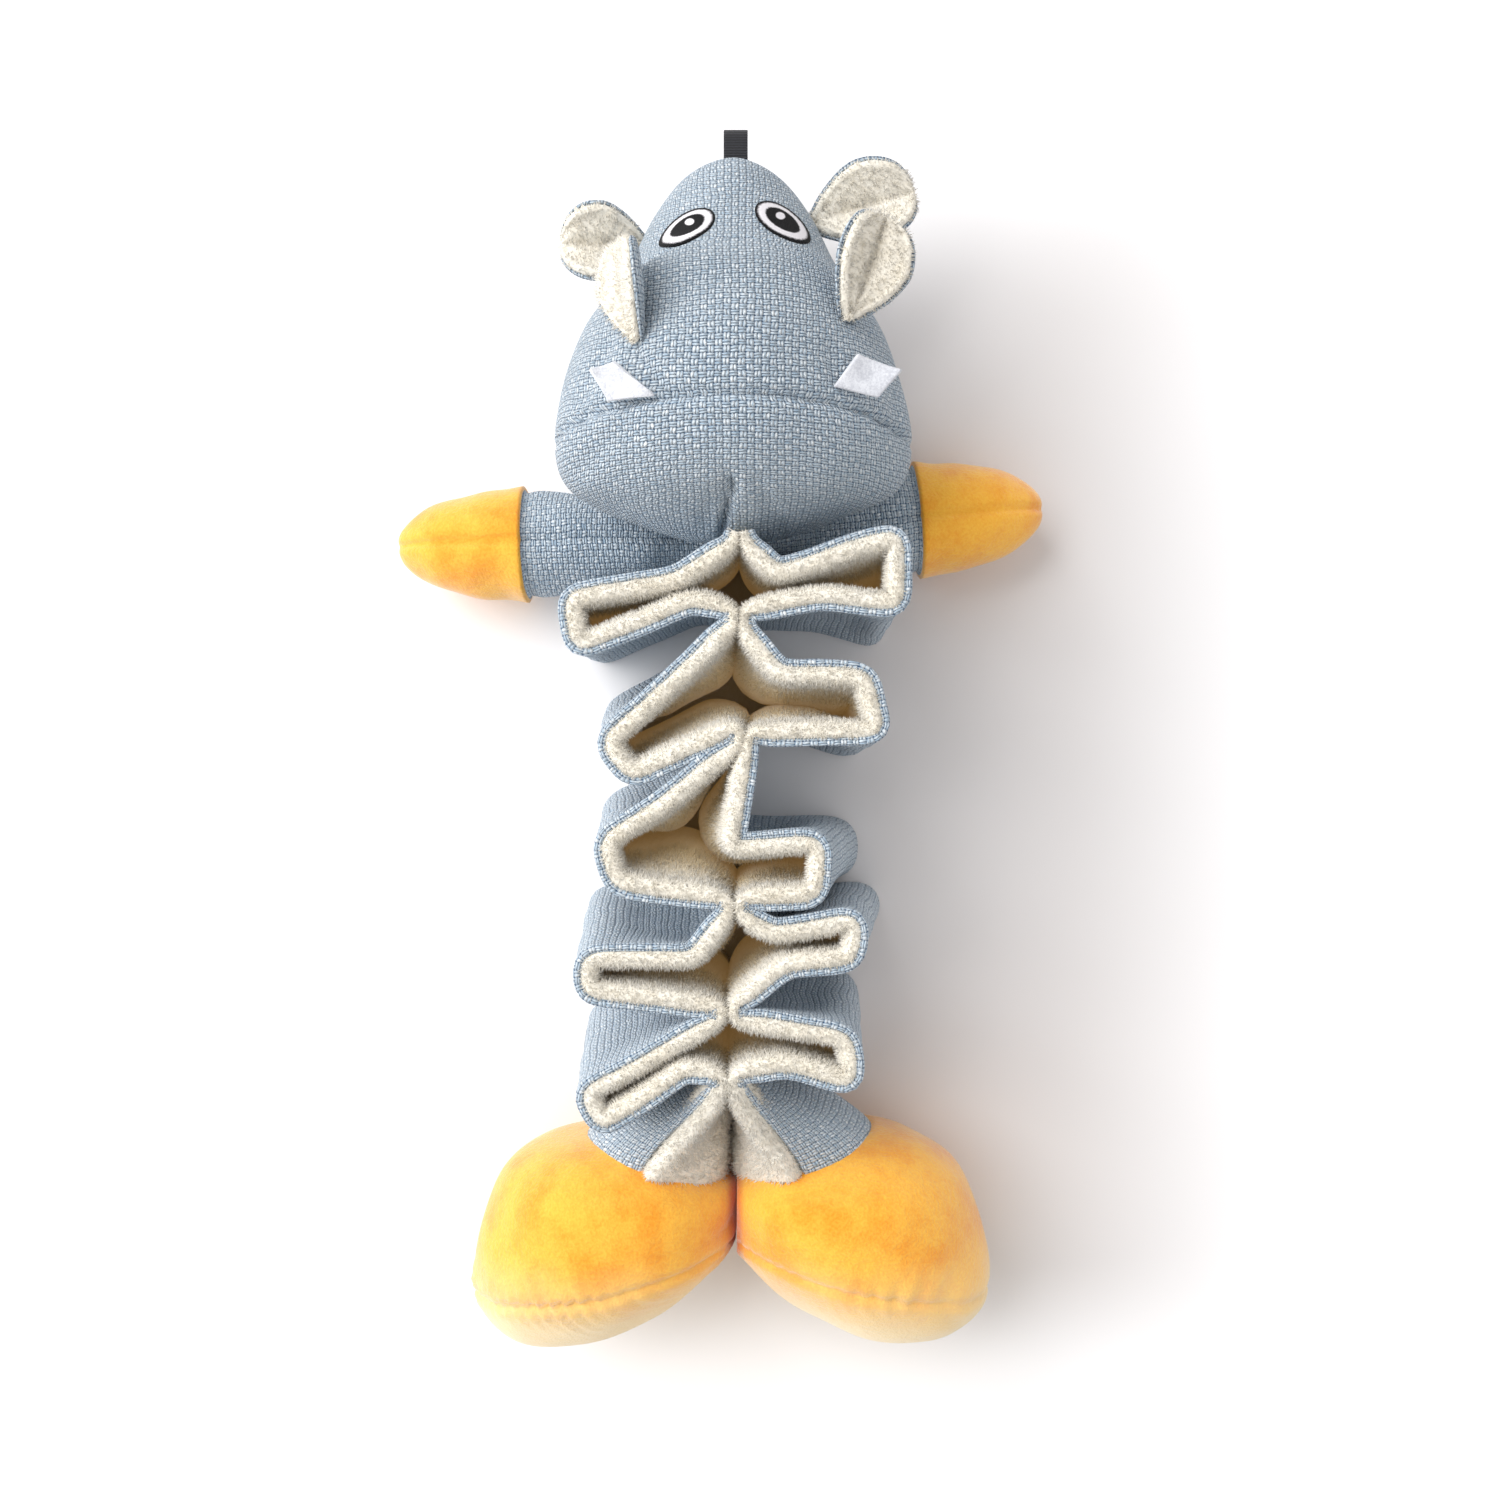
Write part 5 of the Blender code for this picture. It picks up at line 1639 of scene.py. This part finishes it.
# The feet stop this far from the plane between them
FOOT_CLEAR = 0.00005
FOOT_SECTION_SHARES = (
    # along, shift, half width, top, bottom, turn in degrees
    (0.000, 0.000, 0.55, 0.815, 0.185, 17.0),
    (0.059, 0.079, 0.76, 0.90, 0.10, 10.0),
    (0.175, 0.141, 0.90, 0.98, 0.02, 4.5),
    (0.380, 0.181, 0.96, 1.00, 0.00, -3.0),
    (0.586, 0.200, 0.97, 0.98, 0.00, -8.0),
    (0.755, 0.229, 0.86, 0.88, 0.00, -10.0),
    (0.925, 0.260, 0.60, 0.70, 0.14, -11.0),
    (1.000, 0.285, 0.26, 0.55, 0.30, -11.0),
    (1.010, 0.290, 0.03, 0.45, 0.40, -11.0),
)


def foot_place(ankle, side, out_share, toe_share):
    """Where shares of a foot's width and length lead, from its ankle."""
    return ankle.x + side * out_share * FOOT_WIDTH, ankle.y - toe_share * FOOT_LENGTH


def make_foot(name, side):
    ankle = ANKLES[name]
    rows = []
    for share, shift, half, top, bottom, degrees in smooth_rows(FOOT_SECTION_SHARES, 80):
        across = outward_frame(side, degrees)[1]
        x, y = foot_place(ankle, side, shift, share)
        z = (top + bottom) / 2 * FOOT_HEIGHT - SINK
        rise = (top - bottom) / 2 * FOOT_HEIGHT
        rows.append((x, y, z, across.x, across.y, half * FOOT_WIDTH / 2, rise))
    rings = ring_form(rows, 120)
    form = closed_form(f"{name}_foot_form", rings, YELLOW, form_maps(rings))
    toes = outward_frame(side, SOLE_TURN_DEGREES)[0]
    seam = Vector((*foot_place(ankle, side, *SOLE_SHARES), 0))
    across = Vector((-toes.y, toes.x, 0))
    spacing, reach, depth = PUCKERS

    def change(place, normal):
        """The sole's seam, the puckers beside it and a soft unevenness."""
        distance = (place - seam).dot(toes)
        around = (place - seam).dot(across) + place.z * 0.7
        move = groove(distance, *SOLE_GROOVE)
        pucker = math.sin(around / spacing * math.tau + 2.2 * soft_noise(place, 0.02, 7.0))
        strength = max(soft_noise(place, 0.016, 9.0) + 0.25, 0.0)
        move += depth * pucker * strength * math.exp(-((distance / reach) ** 2))
        move += 0.0010 * soft_noise(place, 0.020, 6.0)
        return normal * move

    move_points(form, change)
    rest_on_floor(form)
    edge = FOOT_SPLIT_X + side * FOOT_CLEAR
    for vertex in form.data.vertices:
        if (vertex.co.x - edge) * side < 0:
            vertex.co.x = edge
    form.data.update()
    upper = keep_side(form, f"{name}_foot_top", seam, -toes)
    sole = keep_side(form, f"{name}_foot_base", seam, toes)
    bpy.data.objects.remove(form)
    for obj, node in ((upper, f"{name}_foot_upper"), (sole, f"{name}_foot_sole")):
        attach(obj, f"{name}_foot")
        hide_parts(node)


for name, side in SIDES.items():
    make_foot(name, side)
print("foot width:", FOOT_WIDTH / MM, "mm")

# %% [markdown]
# What is inside keeps its solid and gets a finish, so that a cut-away shows it too.

# %% Inner pieces
FILLED = ("head", "left", "right", "left_foot", "right_foot")
INNER = {
    **{f"{place}_filling": FIBRE for place in FILLED},
    "squeaker": PLASTIC,
    **{f"tack_seam_{index}": SEAM_THREAD for index in range(len(TACKS))},
}
for node, finish in INNER.items():
    mesh = frame["nodes"][node].data
    mesh.materials.clear()
    mesh.materials.append(finish)
print("inner pieces:", len(INNER))

# %% [markdown]
# A plain pale floor takes the soft shadow. Its colour is also painted a little greyer right beside
# the toy, away from the window, as a painted shadow, and white further out, as the photograph's
# is.

# %% Floor
FLOOR_REACH = 3.0


def make_floor():
    finish = Finish("floor", roughness=0.7)
    x, y, _ = finish.parts(finish.place())
    # Painted shadow: the floor is painted greyer beside the toy, on the side away from the window
    beside = x.ramp(-0.08, 0.08) * (1.0 - x.ramp(0.10, 0.19))
    along = y.ramp(-0.205, -0.165) * (1.0 - y.ramp(0.13, 0.20))
    shade = beside * along * 0.60
    grain = finish.noise(20.0, 2.0)
    pale = finish.mix(shade, srgb("FCFBFC"), srgb("D2CCCA"))
    finish.colour(finish.mix(grain * 0.04, pale, srgb("FFFFFF")))
    mesh = bpy.data.meshes.new("floor")
    corners = ((-1, -1), (1, -1), (1, 1), (-1, 1))
    mesh.from_pydata([(x * FLOOR_REACH, y * FLOOR_REACH, 0) for x, y in corners], [], [range(4)])
    obj = make_object("floor", finish.material, mesh)


make_floor()
print("floor:", 2 * FLOOR_REACH, "m wide")

# %% [markdown]
